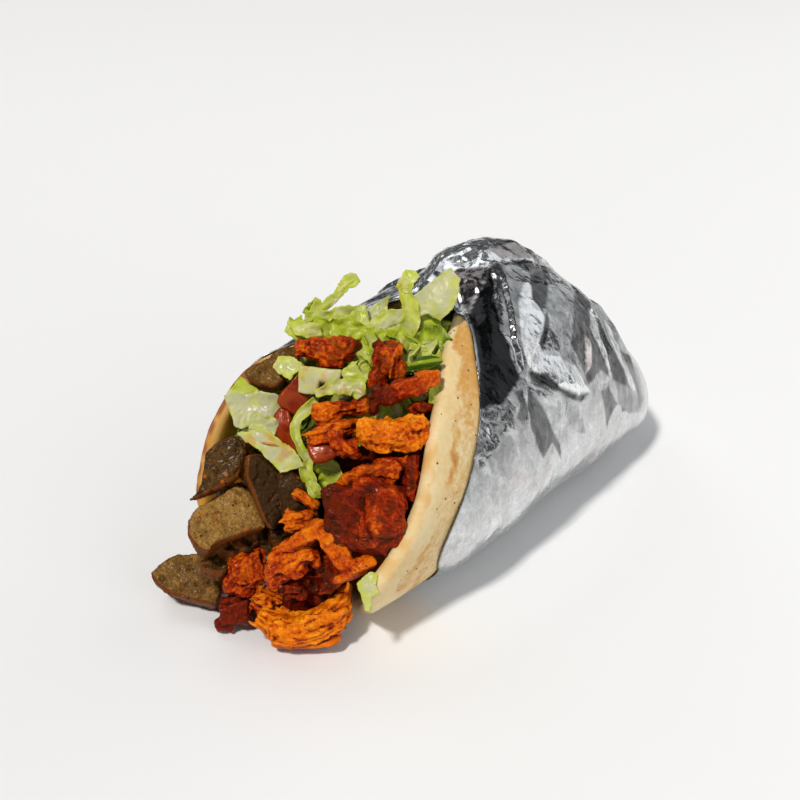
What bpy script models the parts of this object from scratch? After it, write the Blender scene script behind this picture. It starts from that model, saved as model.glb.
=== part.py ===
# Gyro wrap: a folded pita in a foil wrapper, with sliced doner, spiced chicken and salad in its open mouth.
# The wrap lies along Y with its closed end at +Y, on the plane z = 0. Lengths are in millimetres, and MM
# turns them into metres. Angles round the wrap run from its underside: 90 is the +X side, 180 the top.
import math

import bpy
import bmesh
import numpy as np
from mathutils import Matrix, Vector, noise

MM = 0.001
GAP = 0.35              # clearance between pieces that touch

# Outline of the folded bread along its length: (y, half width) and (y, height)
HALF_WIDTH = ((-26, 42.5), (0, 46), (42, 46), (85, 43.5), (119, 40), (140, 35.5), (153, 30))
HEIGHT = ((-26, 90), (0, 93.5), (42, 95), (81, 97), (106, 84.5), (128, 61), (140, 47), (153, 34))
SIDE_POWER = 0.82       # below 1 squares the sides
TOP_POWER = 0.92
LEAN_IN = 0.12          # how much the top is narrower than the belly
SAG = 0.10              # how much lower the top lies on the -X side, behind the rim
SAG_ANGLES = (150, 186, 212, 250)
SAG_Y = (-10, 25)
FLAT_BOTTOM = 1.2       # slice taken off the underside, which makes it flat

BREAD = 6.2             # thickness of the pita
FOIL = 0.5              # thickness of the foil, a few loose layers
FOIL_GAP = 0.9          # between foil and bread
STATIONS = 40           # steps round the wrap
RIM_STEPS = 4
BREAD_STEPS = 6         # steps along the bread
BREAD_END = 140
BREAD_TUCK = 2.2        # how much thinner the bread gets towards its hidden end
BREAD_PATCH = 9         # half width of a stretch of bread that is taken as flat
FOIL_CLOSE = 146        # the foil starts to close here
FOIL_DEPTH = 12         # and ends this much further on
FOIL_END_HEIGHT = 18
FILL_END = 131
FILL_TUCK = 1.8         # and how much further inside it the fillings lie there
LIFT = FOIL_GAP + FOIL  # the bread lies on the foil

# Front edges round the wrap: (angle in degrees, y)
BREAD_RIM = ((-180, 65), (-170, 64), (-160, 54), (-150, 28), (-140, 1), (-125, -9), (-100, -19),
             (-75, -27), (-65, -28), (-45, -18), (-20, -8), (0, -7), (20, -10), (45, -19), (62, -24),
             (77, -15), (95, -5), (116, 4), (129, 12), (141, 22), (153, 31), (165, 44), (180, 65))
FOIL_EDGE = ((-180, 49), (-166, 48), (-156, 42), (-148, 26), (-140, 10), (-125, 0), (-100, -8),
             (-75, -12), (-50, -4), (-25, 10), (0, 16), (20, 15), (40, 14), (51, 9), (62, 3), (77, 6),
             (93, 14), (108, 22), (122, 29), (135, 34), (151, 42), (163, 48), (180, 49))

# The gathered ridge on top of the foil, and the slack fold low on the +X side
RIDGE_HEIGHT = 13
RIDGE_ANGLE = 181
RIDGE_HALF_ANGLE = 24
RIDGE_Y = (53, 63, 98, 122)
SLACK_DEPTH = 0.8
SLACK_ANGLE = 42
SLACK_Y = (8, 26, 92, 130)

# Planes that part the fillings behind the mouth: a point and the normal of the side that is cut off
CHICKEN_SIDE = 1.5
FLOOR_POINT = Vector((0, 0, 60))
FLOOR_NORMAL = Vector((-0.33, 0, 1)).normalized()
FRONT_LOW = (Vector((0, -9, 0)), Vector((0, -1, 0)))
FRONT_HIGH = (Vector((0, -9, 42)), Vector((0, -1, 0.78)).normalized())
HEAP_FRONT = (Vector((0, -13, 50)), Vector((0.25, -1, 0.86)).normalized())

# Pieces face out of the mouth, turned towards +X and up by these angles
FACE_TURN = math.radians(40)
FACE_RISE = math.radians(30)
LARGE_PIECE = 18        # pieces longer than this get a finer mesh

# Pieces that stand out of the mouth, above or in front of the bread
CLEAR_OF_BREAD = ("lettuce_stalk", "lettuce_strip", "lettuce_tall", "lettuce_scrap")

MATERIALS = {
    "foil": ((0.62, 0.64, 0.66, 1), 0.22, 1.0),
    "pita": ((0.80, 0.66, 0.42, 1), 0.75, 0.0),
    "chicken": ((0.66, 0.17, 0.03, 1), 0.40, 0.0),
    "doner": ((0.16, 0.09, 0.04, 1), 0.50, 0.0),
    "lettuce": ((0.62, 0.72, 0.34, 1), 0.40, 0.0),
    "tomato": ((0.50, 0.08, 0.02, 1), 0.30, 0.0),
    "pepper": ((0.20, 0.38, 0.04, 1), 0.35, 0.0),
}


def along(stations, t):
    # A smooth curve through (t, value) stations
    last = len(stations) - 2
    index = next((i for i in range(last) if t < stations[i + 1][0]), last)

    def slope(i):
        low, high = stations[max(i - 1, 0)], stations[min(i + 1, last + 1)]
        return (high[1] - low[1]) / (high[0] - low[0])

    (t0, v0), (t1, v1) = stations[index], stations[index + 1]
    span = t1 - t0
    u = min(max((t - t0) / span, 0), 1)
    return ((2 * u ** 3 - 3 * u ** 2 + 1) * v0 + (u ** 3 - 2 * u ** 2 + u) * span * slope(index)
            + (3 * u ** 2 - 2 * u ** 3) * v1 + (u ** 3 - u ** 2) * span * slope(index + 1))


def ramp(t, start, end):
    u = min(max((t - start) / (end - start), 0), 1)
    return u * u * (3 - 2 * u)


def plateau(t, start, full, fade, end):
    return ramp(t, start, full) * (1 - ramp(t, fade, end))


def outward(angle):
    return Vector((math.sin(angle), 0, -math.cos(angle)))


def wall(angle, y, offset=0.0):
    # A point on the bread's outer face, or that far outside it
    rise = (1 - math.cos(angle)) / 2
    side = math.copysign(abs(math.sin(angle)) ** SIDE_POWER, math.sin(angle))
    x = along(HALF_WIDTH, y) * side * (1 - LEAN_IN * rise)
    sag = 1 - SAG * plateau(math.degrees(angle) % 360, *SAG_ANGLES) * ramp(y, *SAG_Y)
    z = max(along(HEIGHT, y) * sag * rise ** TOP_POWER - FLAT_BOTTOM, 0) + LIFT
    return Vector((x, y, z)) + outward(angle) * offset


def closing(angle, close, offset=0.0):
    # The wrapper's rounded end: close runs from 0, where the end starts, to 90 degrees at its tip
    ring = wall(angle, FOIL_CLOSE, offset)
    middle = Vector((0, FOIL_CLOSE, FOIL_END_HEIGHT))
    point = middle + (ring - middle) * math.cos(close)
    point.y += (FOIL_DEPTH + offset) * math.sin(close)
    return point


def round_angles():
    return [math.radians(360 * i / STATIONS - 180) for i in range(STATIONS)]


def loft(rings, around=False):
    # Quads between rings of equal length. Open ends are filled, or the last ring joins the first
    bm = bmesh.new()
    rows = [[bm.verts.new(point) for point in ring] for ring in rings]
    pairs = list(zip(rows, rows[1:]))
    if around:
        pairs.append((rows[-1], rows[0]))
    else:
        bm.faces.new(rows[0])
        bm.faces.new(rows[-1])
    for low, high in pairs:
        for i, vert in enumerate(low):
            following = (i + 1) % len(low)
            bm.faces.new((vert, low[following], high[following], high[i]))
    bmesh.ops.recalc_face_normals(bm, faces=bm.faces)
    return bm


def cut(bm, point, normal):
    # Takes away what lies beyond the plane, on the side the normal points to, and closes the cut
    geometry = bm.verts[:] + bm.edges[:] + bm.faces[:]
    bmesh.ops.bisect_plane(bm, geom=geometry, dist=1e-5, plane_co=point, plane_no=normal, clear_outer=True)
    rim = [edge for edge in bm.edges if edge.is_boundary]
    if rim:
        bmesh.ops.holes_fill(bm, edges=rim, sides=0)
    bmesh.ops.recalc_face_normals(bm, faces=bm.faces)


# ---- bread and foil

def rim_section(angle):
    # The rounded rim at one angle: the bread's outer face, half a turn round its edge, then its inner face
    degrees = math.degrees(angle)
    step = 2.0
    radius = along(HALF_WIDTH, 20)
    rise = along(BREAD_RIM, min(degrees + step, 180)) - along(BREAD_RIM, max(degrees - step, -180))
    run = radius * math.radians(2 * step)
    inward = Vector((-rise, run)).normalized()      # square to the rim, in the bread's own face
    rim_y = along(BREAD_RIM, degrees)
    section = []
    half = BREAD / 2
    for i in range(RIM_STEPS + 1):
        turn = math.pi * i / RIM_STEPS
        depth = half * (1 - math.sin(turn))
        at = (angle + inward.x * depth / radius, rim_y + inward.y * depth)
        section.append(wall(at[0], at[1], -half + half * math.cos(turn)))
    shift = inward.x * half / radius
    start = rim_y + inward.y * half
    inner, outer = [], []
    for i in range(1, BREAD_STEPS + 1):
        t = i / BREAD_STEPS
        y = start + (BREAD_END - start) * t ** 1.15
        aside = angle + shift * (1 - t) ** 3
        tuck = BREAD_TUCK * ramp(y, 25, 105)
        inner.append(wall(aside, y, -BREAD))
        outer.append(wall(aside, y, -tuck))
    return section + inner + outer[::-1]


def make_pita():
    return loft([rim_section(angle) for angle in round_angles()], around=True)


def crumple(angle, y):
    # Folds that run down and back from the ridge, and smaller dents
    fold = abs(noise.noise(Vector((3.4 * angle + 0.03 * y, 0.03 * y, 4))))
    dent = abs(noise.noise(Vector((4 * math.sin(angle), 4 * math.cos(angle), 0.11 * y))))
    return 2.2 * fold + 1.8 * dent


def foil_offset(angle, y):
    degrees = abs(math.degrees(angle))
    sides = ramp(degrees, 20, 42)
    off_ridge = abs(math.degrees(angle) % 360 - RIDGE_ANGLE)
    ridge = RIDGE_HEIGHT * (1 - ramp(off_ridge, 2, RIDGE_HALF_ANGLE)) * plateau(y, *RIDGE_Y)
    slack = 0
    if angle > 0:
        slack = SLACK_DEPTH * plateau(degrees, 14, SLACK_ANGLE, SLACK_ANGLE, 80) * plateau(y, *SLACK_Y)
    return FOIL_GAP + FOIL + crumple(angle, y) * sides * ramp(y, -12, 20) + ridge + slack


def make_foil():
    angles = round_angles()
    outer_steps, inner_steps = 11, 6
    closes = [math.radians(degrees) for degrees in (88, 62, 34)]

    def edge_to_end(t):
        edges = (along(FOIL_EDGE, math.degrees(angle)) for angle in angles)
        return [edge + (FOIL_CLOSE - edge) * t for edge in edges]

    rings = [[closing(a, close, foil_offset(a, FOIL_CLOSE)) for a in angles] for close in closes]
    for i in range(outer_steps, -1, -1):
        ys = edge_to_end(i / outer_steps)
        rings.append([wall(a, y, foil_offset(a, y)) for a, y in zip(angles, ys)])
    for i in range(inner_steps + 1):
        ys = edge_to_end(i / inner_steps)
        rings.append([wall(a, y, FOIL_GAP) for a, y in zip(angles, ys)])
    rings += [[closing(a, close, FOIL_GAP) for a in angles] for close in reversed(closes)]
    bm = loft(rings)
    for vert in bm.verts:
        if vert.co.z < 0.1:
            vert.co.z = 0
    return bm


# ---- fillings that run through the wrap

def inside(y_front, y_steps, offset_at):
    angles = round_angles()
    rings = []
    for i in range(y_steps + 1):
        y = y_front + (FILL_END - y_front) * i / y_steps
        rings.append([wall(a, y, offset_at(a, y)) for a in angles])
    return loft(rings)


def snug(angle, y):
    # Just inside the bread
    return -BREAD - GAP - 0.25 - FILL_TUCK * ramp(y, 35, 85)


def make_meat_fill(side):
    # side is 1 for the chicken and -1 for the doner
    bm = inside(-12, 8, snug)
    cut(bm, Vector((CHICKEN_SIDE + side * GAP / 2, 0, 0)), Vector((-side, 0, 0)))
    cut(bm, FLOOR_POINT - FLOOR_NORMAL * GAP / 2, FLOOR_NORMAL)
    cut(bm, *FRONT_LOW)
    cut(bm, *FRONT_HIGH)
    return bm


def heap_offset(angle, y):
    # Snug under the bread, level with it under the foil, and heaped above it in the open
    near = [min(max(math.degrees(angle) + step, -180), 180) for step in (-7, 0, 7)]
    out_of_bread = ramp(min(along(BREAD_RIM, degrees) for degrees in near) - y, 3, 10)
    out_of_foil = ramp(min(along(FOIL_EDGE, degrees) for degrees in near) - y, 3, 12)
    uneven = 3.5 * noise.noise(Vector((5 * math.sin(angle), 5 * math.cos(angle), 0.16 * y)))
    heaped = (BREAD - 0.4) + out_of_foil * (2.6 + uneven)
    return snug(angle, y) + out_of_bread * heaped


def make_heap():
    bm = inside(-22, 11, heap_offset)
    cut(bm, FLOOR_POINT + FLOOR_NORMAL * GAP / 2, -FLOOR_NORMAL)
    cut(bm, *HEAP_FRONT)
    return bm


# ---- separate pieces

def facing(roll, turn, tip):
    # Local X is across, Y up and Z out of the mouth. roll spins a piece as seen, turn and tip swing its face
    out = Vector((math.sin(FACE_TURN) * math.cos(FACE_RISE), -math.cos(FACE_TURN) * math.cos(FACE_RISE),
                  math.sin(FACE_RISE)))
    across = Vector((math.cos(FACE_TURN), math.sin(FACE_TURN), 0))
    basis = Matrix((across, out.cross(across), out)).transposed()
    spin = Matrix.Rotation(math.radians(roll), 3, "Z")
    swing = Matrix.Rotation(math.radians(turn), 3, "Y") @ Matrix.Rotation(math.radians(tip), 3, "X")
    return basis @ spin @ swing


def lump(at, size, roll=0, turn=0, tip=0, boxy=0.3, rough=0.16, bend=0.0, seed=0):
    # A rounded uneven block. boxy 0 is an egg and 1 a box, bend lifts its two ends by that part of its width
    bm = bmesh.new()
    bmesh.ops.create_cube(bm, size=2)
    cuts = 3 if max(size) > LARGE_PIECE else 2
    bmesh.ops.subdivide_edges(bm, edges=bm.edges, cuts=cuts, use_grid_fill=True)
    turned = facing(roll, turn, tip)
    half = Vector(size) / 2
    for vert in bm.verts:
        direction = vert.co.normalized()
        shape = direction.lerp(vert.co * 0.86, boxy)
        shape *= 1 + rough * noise.noise(1.5 * direction + Vector((7.3 * seed, 1.7 * seed, 3.1)))
        local = Vector((shape.x * half.x, shape.y * half.y, shape.z * half.z))
        local.y += bend * size[0] * (shape.x ** 2 - 0.4)
        vert.co = Vector(at) + turned @ local
    return bm


def slab(at, size, curl=0.0, wave=0.0, **options):
    # A leaf as a thick sheet: curl bows it outwards, and wave ripples it from side to side
    bm = lump(at, size, boxy=0.75, **options)
    turned = facing(options.get("roll", 0), options.get("turn", 0), options.get("tip", 0))
    for vert in bm.verts:
        local = turned.inverted() @ (vert.co - Vector(at))
        u = 2 * local.x / size[0]
        v = 2 * local.y / size[1]
        lift = curl * (1 - v * v) + wave * math.sin(3.6 * u + 2 * v)
        vert.co += turned @ Vector((0, 0, lift))
    return bm


def chicken_pieces():
    yield "chicken_01", lump((-9, 9, 85), (22, 12, 15), roll=-4, bend=0.05, seed=1)
    yield "chicken_02", lump((11, 15, 85), (12, 16, 15), roll=14, seed=2)
    yield "chicken_03", lump((22, 13, 82), (22, 10, 14), roll=20, boxy=0.45, seed=3)
    yield "chicken_04", lump((3, 0, 73), (19, 10, 14), roll=8, boxy=0.4, seed=4)
    yield "chicken_05", lump((6, -7, 67), (20, 9, 12), roll=24, boxy=0.3, seed=5)
    yield "chicken_06", lump((23, 3, 71), (26, 13, 16), roll=9, seed=6)
    yield "chicken_07", lump((12, -8, 64), (11, 10, 11), roll=-20, seed=7)
    yield "chicken_08", lump((23, -6, 60), (22, 10, 14), roll=10, seed=8)
    yield "chicken_09", lump((24, -13, 47), (28, 24, 20), roll=-6, boxy=0.45, seed=9)
    yield "chicken_10", lump((33, 2, 59), (9, 15, 13), roll=-8, seed=10)
    yield "chicken_11", lump((7, -20, 50), (9, 7, 9), roll=-40, seed=11)
    yield "chicken_12", lump((6, -24, 44), (11, 9, 11), roll=10, seed=12)
    yield "chicken_13", lump((22, -24, 37), (24, 11, 9), roll=-42, boxy=0.6, bend=-0.16, seed=13)
    yield "chicken_14", lump((8, -31, 32), (19, 13, 15), roll=14, seed=14)
    yield "chicken_15", lump((-10, -30, 20), (18, 20, 20), roll=20, boxy=0.45, seed=15)
    yield "chicken_16", lump((-11, -36, 7), (18, 16, 18), roll=6, boxy=0.4, seed=16)
    yield "chicken_17", lump((12, -28, 11), (37, 24, 22), roll=9, bend=0.10, seed=17)
    yield "chicken_18", lump((9, -30, 22), (15, 12, 15), roll=-10, seed=18)
    yield "chicken_19", lump((17, -22, 23.5), (16, 15, 14), roll=0, seed=19)
    yield "chicken_20", lump((28, 13, 76), (9, 7, 11), roll=0, seed=20)
    yield "chicken_21", lump((-1, -30, 13), (15, 12, 18), roll=-12, seed=21)


def doner_pieces():
    yield "doner_slice_1", lump((-26, -2, 77.4), (20, 11, 9), roll=30, tip=-20, boxy=0.55, seed=31)
    yield "doner_slice_2", lump((-25, -24, 50), (17, 23, 9), roll=-6, turn=-12, boxy=0.6, seed=32)
    yield "doner_slice_3", lump((-12, -20, 50), (15, 26, 11), roll=24, turn=10, boxy=0.55, seed=33)
    yield "doner_slice_4", lump((-2, -16, 48), (12, 17, 11), roll=8, boxy=0.5, seed=34)
    yield "doner_slice_5", lump((-18, -32, 36), (26, 20, 14), roll=18, tip=-14, boxy=0.6, seed=35)
    yield "doner_slice_6", lump((-34, -36, 6.5), (26, 18, 15), roll=-6, tip=-12, boxy=0.35, seed=36)


def salad_pieces():
    yield "tomato_1", "tomato", lump((-12, -4, 74), (9, 18, 8), roll=-16, boxy=0.4, seed=41)
    yield "tomato_2", "tomato", lump((-9, -12, 64), (8, 20, 6), roll=16, boxy=0.6, bend=0.1, seed=42)
    yield "tomato_3", "tomato", lump((6, -11, 61), (13, 11, 8), roll=-12, boxy=0.5, seed=43)
    yield "pepper_strip", "pepper", lump((22, 18, 86), (19, 9, 8), roll=8, boxy=0.4, bend=-0.06, seed=44)
    yield "lettuce_leaf", "lettuce", slab((-25, -11, 69), (20, 16, 4.5), roll=12, curl=2, seed=51)
    yield "lettuce_flap", "lettuce", slab((-9, -20, 63), (27, 12, 3.5), roll=-38, wave=0.8, seed=52)
    yield "lettuce_rib", "lettuce", slab((-7, 0, 79), (12, 9, 4.5), roll=-4, seed=53)
    yield "lettuce_curl", "lettuce", slab((4, 2, 80), (13, 9, 5), roll=6, wave=0.9, seed=54)
    yield "lettuce_stalk", "lettuce", lump((-17, 25, 98), (22, 5, 5), roll=48, boxy=0.3, bend=0.05, seed=55)
    yield "lettuce_frill", "lettuce", slab((-10, 17, 90), (30, 15, 5), roll=10, wave=1.0, seed=60)
    yield "lettuce_strip", "lettuce", slab((7, 30, 98), (8, 24, 4), roll=-8, curl=2.5, seed=56)
    yield "lettuce_tall", "lettuce", slab((13, 37, 101), (13, 19, 3.5), roll=-24, curl=1.5, seed=57)
    yield "lettuce_core", "lettuce", slab((-1, -11, 62), (7, 26, 5), roll=6, curl=1.5, seed=58)
    yield "lettuce_scrap", "lettuce", slab((38, -27, 32), (8, 15, 3), roll=14, wave=0.5, seed=59)


def spread_directions(count):
    # Directions spread evenly over a sphere
    golden = math.pi * (3 - math.sqrt(5))
    directions = []
    for i in range(count):
        height = 1 - 2 * (i + 0.5) / count
        radius = math.sqrt(1 - height * height)
        directions.append(Vector((radius * math.cos(golden * i), radius * math.sin(golden * i), height)))
    return directions


def points_of(bm):
    return np.array([vert.co for vert in bm.verts])


def part_ways(first, second, directions, share):
    # Cuts two neighbours apart across the direction in which they overlap least. share is the part of the
    # overlap that the first one keeps
    here, there = points_of(first), points_of(second)
    if (here.max(0) + GAP < there.min(0)).any() or (there.max(0) + GAP < here.min(0)).any():
        return
    across = np.array(directions)
    ends = (here @ across.T).max(0)
    starts = (there @ across.T).min(0)
    best = int(np.argmin(ends - starts))
    end, start = ends[best], starts[best]
    if end - start < -GAP:
        return
    direction = directions[best]
    middle = start + (end - start) * share
    if share < 1:
        cut(first, direction * (middle - GAP / 2), direction)
    if share > 0:
        cut(second, direction * (middle + GAP / 2), -direction)


def trim_to_bread(bm):
    # Keeps a piece above the table, and inside the bread or, if it has spilled out, in front of its rim
    cut(bm, Vector((0, 0, 0)), Vector((0, 0, -1)))
    middle = points_of(bm)[:, 1].mean()
    for degrees in range(-165, 180, 15):
        angle = math.radians(degrees)
        direction = outward(angle)
        rim = along(BREAD_RIM, degrees) - GAP
        points = points_of(bm)
        for y in (max(points[:, 1].min(), rim), points[:, 1].max()):
            point = wall(angle, y, snug(angle, y))
            reach = (points_of(bm) - np.array(point)) @ np.array(direction)
            sideways = (points_of(bm) - np.array(point)) @ np.array((direction.z, 0, -direction.x))
            depth = points_of(bm)[:, 1] - rim
            clash = (reach > 0) & (depth > 0) & (abs(sideways) < BREAD_PATCH)
            if not clash.any():
                continue
            if middle < rim:
                cut(bm, Vector((0, rim, 0)), Vector((0, 1, 0)))
            else:
                cut(bm, point, direction)


def scratch(name, bm):
    mesh = bpy.data.meshes.new(name)
    bm.to_mesh(mesh)
    item = bpy.data.objects.new(name, mesh)
    bpy.context.collection.objects.link(item)
    return item


def carve(bm, pieces):
    # Hollows out seats in the salad for the pieces that lie in it
    heap = scratch("heap", bm)
    seats = []
    for piece in pieces:
        swollen = piece.copy()
        swollen.normal_update()
        for vert in swollen.verts:
            vert.co += vert.normal * GAP
        seats.append(scratch("seat", swollen))
        modifier = heap.modifiers.new("seat", "BOOLEAN")
        modifier.object = seats[-1]
        modifier.solver = "EXACT"
    evaluated = heap.evaluated_get(bpy.context.evaluated_depsgraph_get())
    carved = bmesh.new()
    carved.from_mesh(evaluated.to_mesh())
    for leftover in [heap] + seats:
        bpy.data.objects.remove(leftover)
    drop_crumbs(carved)
    return carved


def drop_crumbs(bm):
    # Keeps only the largest body, as cuts can leave slivers
    bodies, left = [], set(bm.faces)
    while left:
        body, front = set(), {left.pop()}
        while front:
            face = front.pop()
            body.add(face)
            closed = [edge for edge in face.edges if len(edge.link_faces) == 2]
            front |= {near for edge in closed for near in edge.link_faces} - body
        left -= body
        bodies.append(body)
    largest = max(bodies, key=len)
    crumbs = [face for face in bm.faces if face not in largest]
    bmesh.ops.delete(bm, geom=crumbs, context="FACES")


def place(name, slot, bm, shift):
    # Makes the object, with its origin at the middle of its box
    points = points_of(bm)
    centre = Vector((points.min(0) + points.max(0)) / 2)
    bmesh.ops.triangulate(bm, faces=bm.faces)
    for vert in bm.verts:
        vert.co = (vert.co - centre) * MM
    mesh = bpy.data.meshes.new(name)
    bm.to_mesh(mesh)
    mesh.materials.append(material(slot))
    item = bpy.data.objects.new(name, mesh)
    item.location = (centre - shift) * MM
    bpy.context.collection.objects.link(item)


def material(slot):
    if slot in bpy.data.materials:
        return bpy.data.materials[slot]
    colour, roughness, metallic = MATERIALS[slot]
    made = bpy.data.materials.new(slot)
    made.use_nodes = True
    shader = made.node_tree.nodes["Principled BSDF"]
    shader.inputs["Base Color"].default_value = colour
    shader.inputs["Roughness"].default_value = roughness
    shader.inputs["Metallic"].default_value = metallic
    return made


def build():
    for item in list(bpy.data.objects):
        bpy.data.objects.remove(item, do_unlink=True)
    pieces = [(name, "chicken", bm) for name, bm in chicken_pieces()]
    pieces += [(name, "doner", bm) for name, bm in doner_pieces()]
    pieces += list(salad_pieces())
    loose = [bm for name, slot, bm in pieces]
    directions = spread_directions(160)
    for name, slot, bm in pieces:
        if name not in CLEAR_OF_BREAD:
            trim_to_bread(bm)
    fills = [make_meat_fill(1), make_meat_fill(-1)]
    fronts = [-FRONT_LOW[1], -FRONT_HIGH[1]]
    for bm in loose:
        for fill in fills:
            part_ways(bm, fill, fronts + directions, 0)
    for i, first in enumerate(loose):
        for second in loose[i + 1:]:
            part_ways(first, second, directions, 0.5)
    heap = make_heap()
    low = points_of(heap).min(0)
    heap = carve(heap, [bm for bm in loose if (points_of(bm).max(0) > low).all()])
    whole = [("foil", "foil", make_foil()), ("pita", "pita", make_pita()), ("lettuce_heap", "lettuce", heap),
             ("chicken_fill", "chicken", fills[0]), ("doner_fill", "doner", fills[1])] + pieces
    corners = np.concatenate([points_of(bm) for name, slot, bm in whole])
    low, high = corners.min(0), corners.max(0)
    shift = Vector(((low[0] + high[0]) / 2, (low[1] + high[1]) / 2, low[2]))
    for name, slot, bm in whole:
        place(name, slot, bm, shift)


build()
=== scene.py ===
# Gyro wrap: the finish and fine shape of every piece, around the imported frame.
# Metres, +Y towards the closed end of the wrap, +Z up. Sizes in the dictionaries are in millimetres.
import math
import random

import bmesh
import bpy
import numpy as np
from mathutils import Matrix, Vector, noise
from mathutils.bvhtree import BVHTree


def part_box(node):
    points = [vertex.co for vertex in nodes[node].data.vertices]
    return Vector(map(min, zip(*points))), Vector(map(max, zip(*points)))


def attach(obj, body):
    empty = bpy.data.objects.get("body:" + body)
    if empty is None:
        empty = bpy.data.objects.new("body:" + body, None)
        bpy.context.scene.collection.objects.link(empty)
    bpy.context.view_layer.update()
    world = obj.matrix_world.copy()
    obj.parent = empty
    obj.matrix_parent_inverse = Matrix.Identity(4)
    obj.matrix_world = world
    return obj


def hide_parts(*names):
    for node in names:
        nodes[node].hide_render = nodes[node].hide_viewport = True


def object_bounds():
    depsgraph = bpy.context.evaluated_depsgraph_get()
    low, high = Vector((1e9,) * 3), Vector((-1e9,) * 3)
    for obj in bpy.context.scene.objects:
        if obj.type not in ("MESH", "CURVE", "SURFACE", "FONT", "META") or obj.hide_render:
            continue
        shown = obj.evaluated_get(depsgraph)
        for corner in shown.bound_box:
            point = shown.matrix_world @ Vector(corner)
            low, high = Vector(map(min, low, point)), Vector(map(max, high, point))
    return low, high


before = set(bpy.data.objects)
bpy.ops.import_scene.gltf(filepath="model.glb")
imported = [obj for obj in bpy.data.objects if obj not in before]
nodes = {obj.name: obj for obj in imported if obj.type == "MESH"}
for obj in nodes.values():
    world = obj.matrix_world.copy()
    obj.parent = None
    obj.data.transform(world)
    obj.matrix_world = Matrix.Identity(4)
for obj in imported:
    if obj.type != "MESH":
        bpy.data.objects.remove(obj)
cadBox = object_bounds()
mm = 0.001

mouthTurn = 40     # the mouth is seen from this far round towards +X, in degrees
mouthRise = 30     # and from this far above


def directionAt(azimuth, elevation):
    a, e = math.radians(azimuth), math.radians(elevation)
    return Vector((math.sin(a) * math.cos(e), -math.cos(a) * math.cos(e), math.sin(e)))


def mouthAxes(roll=0, turn=0, tip=0):
    # Local X across the mouth, Y up and Z out of it. roll spins as seen, turn and tip swing the face
    out = directionAt(mouthTurn, mouthRise)
    across = Vector((math.cos(math.radians(mouthTurn)), math.sin(math.radians(mouthTurn)), 0))
    basis = Matrix((across, out.cross(across), out)).transposed()
    spin = Matrix.Rotation(math.radians(roll), 3, "Z")
    swing = Matrix.Rotation(math.radians(turn), 3, "Y") @ Matrix.Rotation(math.radians(tip), 3, "X")
    return basis @ spin @ swing


def middleOf(node):
    low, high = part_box(node)
    return (low + high) / 2


def smoothStep(value, start, end):
    u = np.clip((value - start) / (end - start), 0, 1)
    return u * u * (3 - 2 * u)


def noiseAt(points, size, seed=0.0):
    # Smooth noise from -1 to 1, size is how far apart its bumps are, in the points' own unit
    moved = (points / size + np.array((seed * 7.31, seed * 1.73, seed * 3.17))).tolist()
    return np.array([noise.noise(place) for place in moved])


def outlineReach(place, corners):
    # How far each place is outside an outline, less than 0 inside, and the nearest place on it
    inside = np.zeros(len(place), bool)
    reach = np.full(len(place), 1e9)
    nearest = place.copy()
    for start, end in zip(corners, np.roll(corners, -1, 0)):
        step = end - start
        t = np.clip(((place - start) @ step) / max(step @ step, 1e-9), 0, 1)
        spot = start + t[:, None] * step
        off = np.linalg.norm(place - spot, axis=1)
        nearest = np.where((off < reach)[:, None], spot, nearest)
        reach = np.minimum(reach, off)
        crosses = (start[1] > place[:, 1]) != (end[1] > place[:, 1])
        at = start[0] + (place[:, 1] - start[1]) / (step[1] if step[1] else 1e-9) * step[0]
        inside ^= crosses & (place[:, 0] < at)
    return np.where(inside, -reach, reach), nearest


def coordsOf(mesh):
    co = np.empty(len(mesh.vertices) * 3)
    mesh.vertices.foreach_get("co", co)
    return co.reshape(-1, 3)


def normalsOf(mesh):
    normals = np.empty(len(mesh.vertices) * 3, np.float32)
    mesh.vertex_normals.foreach_get("vector", normals)
    return normals.reshape(-1, 3).astype(float)


def setCoords(mesh, co):
    mesh.vertices.foreach_set("co", co.ravel())
    mesh.update()


def relaxed(mesh, values, times):
    # Averages a value or place with its neighbours' a number of times
    ends = np.empty(len(mesh.edges) * 2, np.int64)
    mesh.edges.foreach_get("vertices", ends)
    first, second = ends.reshape(-1, 2).T
    total = len(mesh.vertices)
    count = np.bincount(first, minlength=total) + np.bincount(second, minlength=total)
    count = np.maximum(count, 1)
    flat = values.reshape(total, -1).copy()
    for _ in range(times):
        for k in range(flat.shape[1]):
            column = flat[:, k]
            near = np.bincount(first, column[second], total) + np.bincount(second, column[first], total)
            flat[:, k] = (column + near / count) / 2
    return flat.reshape(values.shape)


def setAttributes(mesh, **layers):
    for name, values in layers.items():
        kind, field = ("FLOAT", "value") if values.ndim == 1 else ("FLOAT_VECTOR", "vector")
        layer = mesh.attributes.new(name, kind, "POINT")
        layer.data.foreach_set(field, values.astype(np.float32).ravel())


def takeNode(name):
    # A merged copy of a node's mesh
    bm = bmesh.new()
    bm.from_mesh(nodes[name].data)
    bmesh.ops.remove_doubles(bm, verts=bm.verts, dist=1e-6)
    return bm


def meshFrom(bm, name, smooth=True):
    mesh = bpy.data.meshes.new(name)
    bm.to_mesh(mesh)
    bm.free()
    if smooth:
        mesh.shade_smooth()
    return mesh


def evaluated(mesh, **modifier):
    # The mesh as one modifier leaves it
    holder = bpy.data.objects.new("holder", mesh)
    bpy.context.collection.objects.link(holder)
    made = holder.modifiers.new("shape", modifier.pop("type"))
    for key, value in modifier.items():
        setattr(made, key, value)
    result = bpy.data.meshes.new_from_object(holder.evaluated_get(bpy.context.evaluated_depsgraph_get()))
    bpy.data.objects.remove(holder)
    return result


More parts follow.
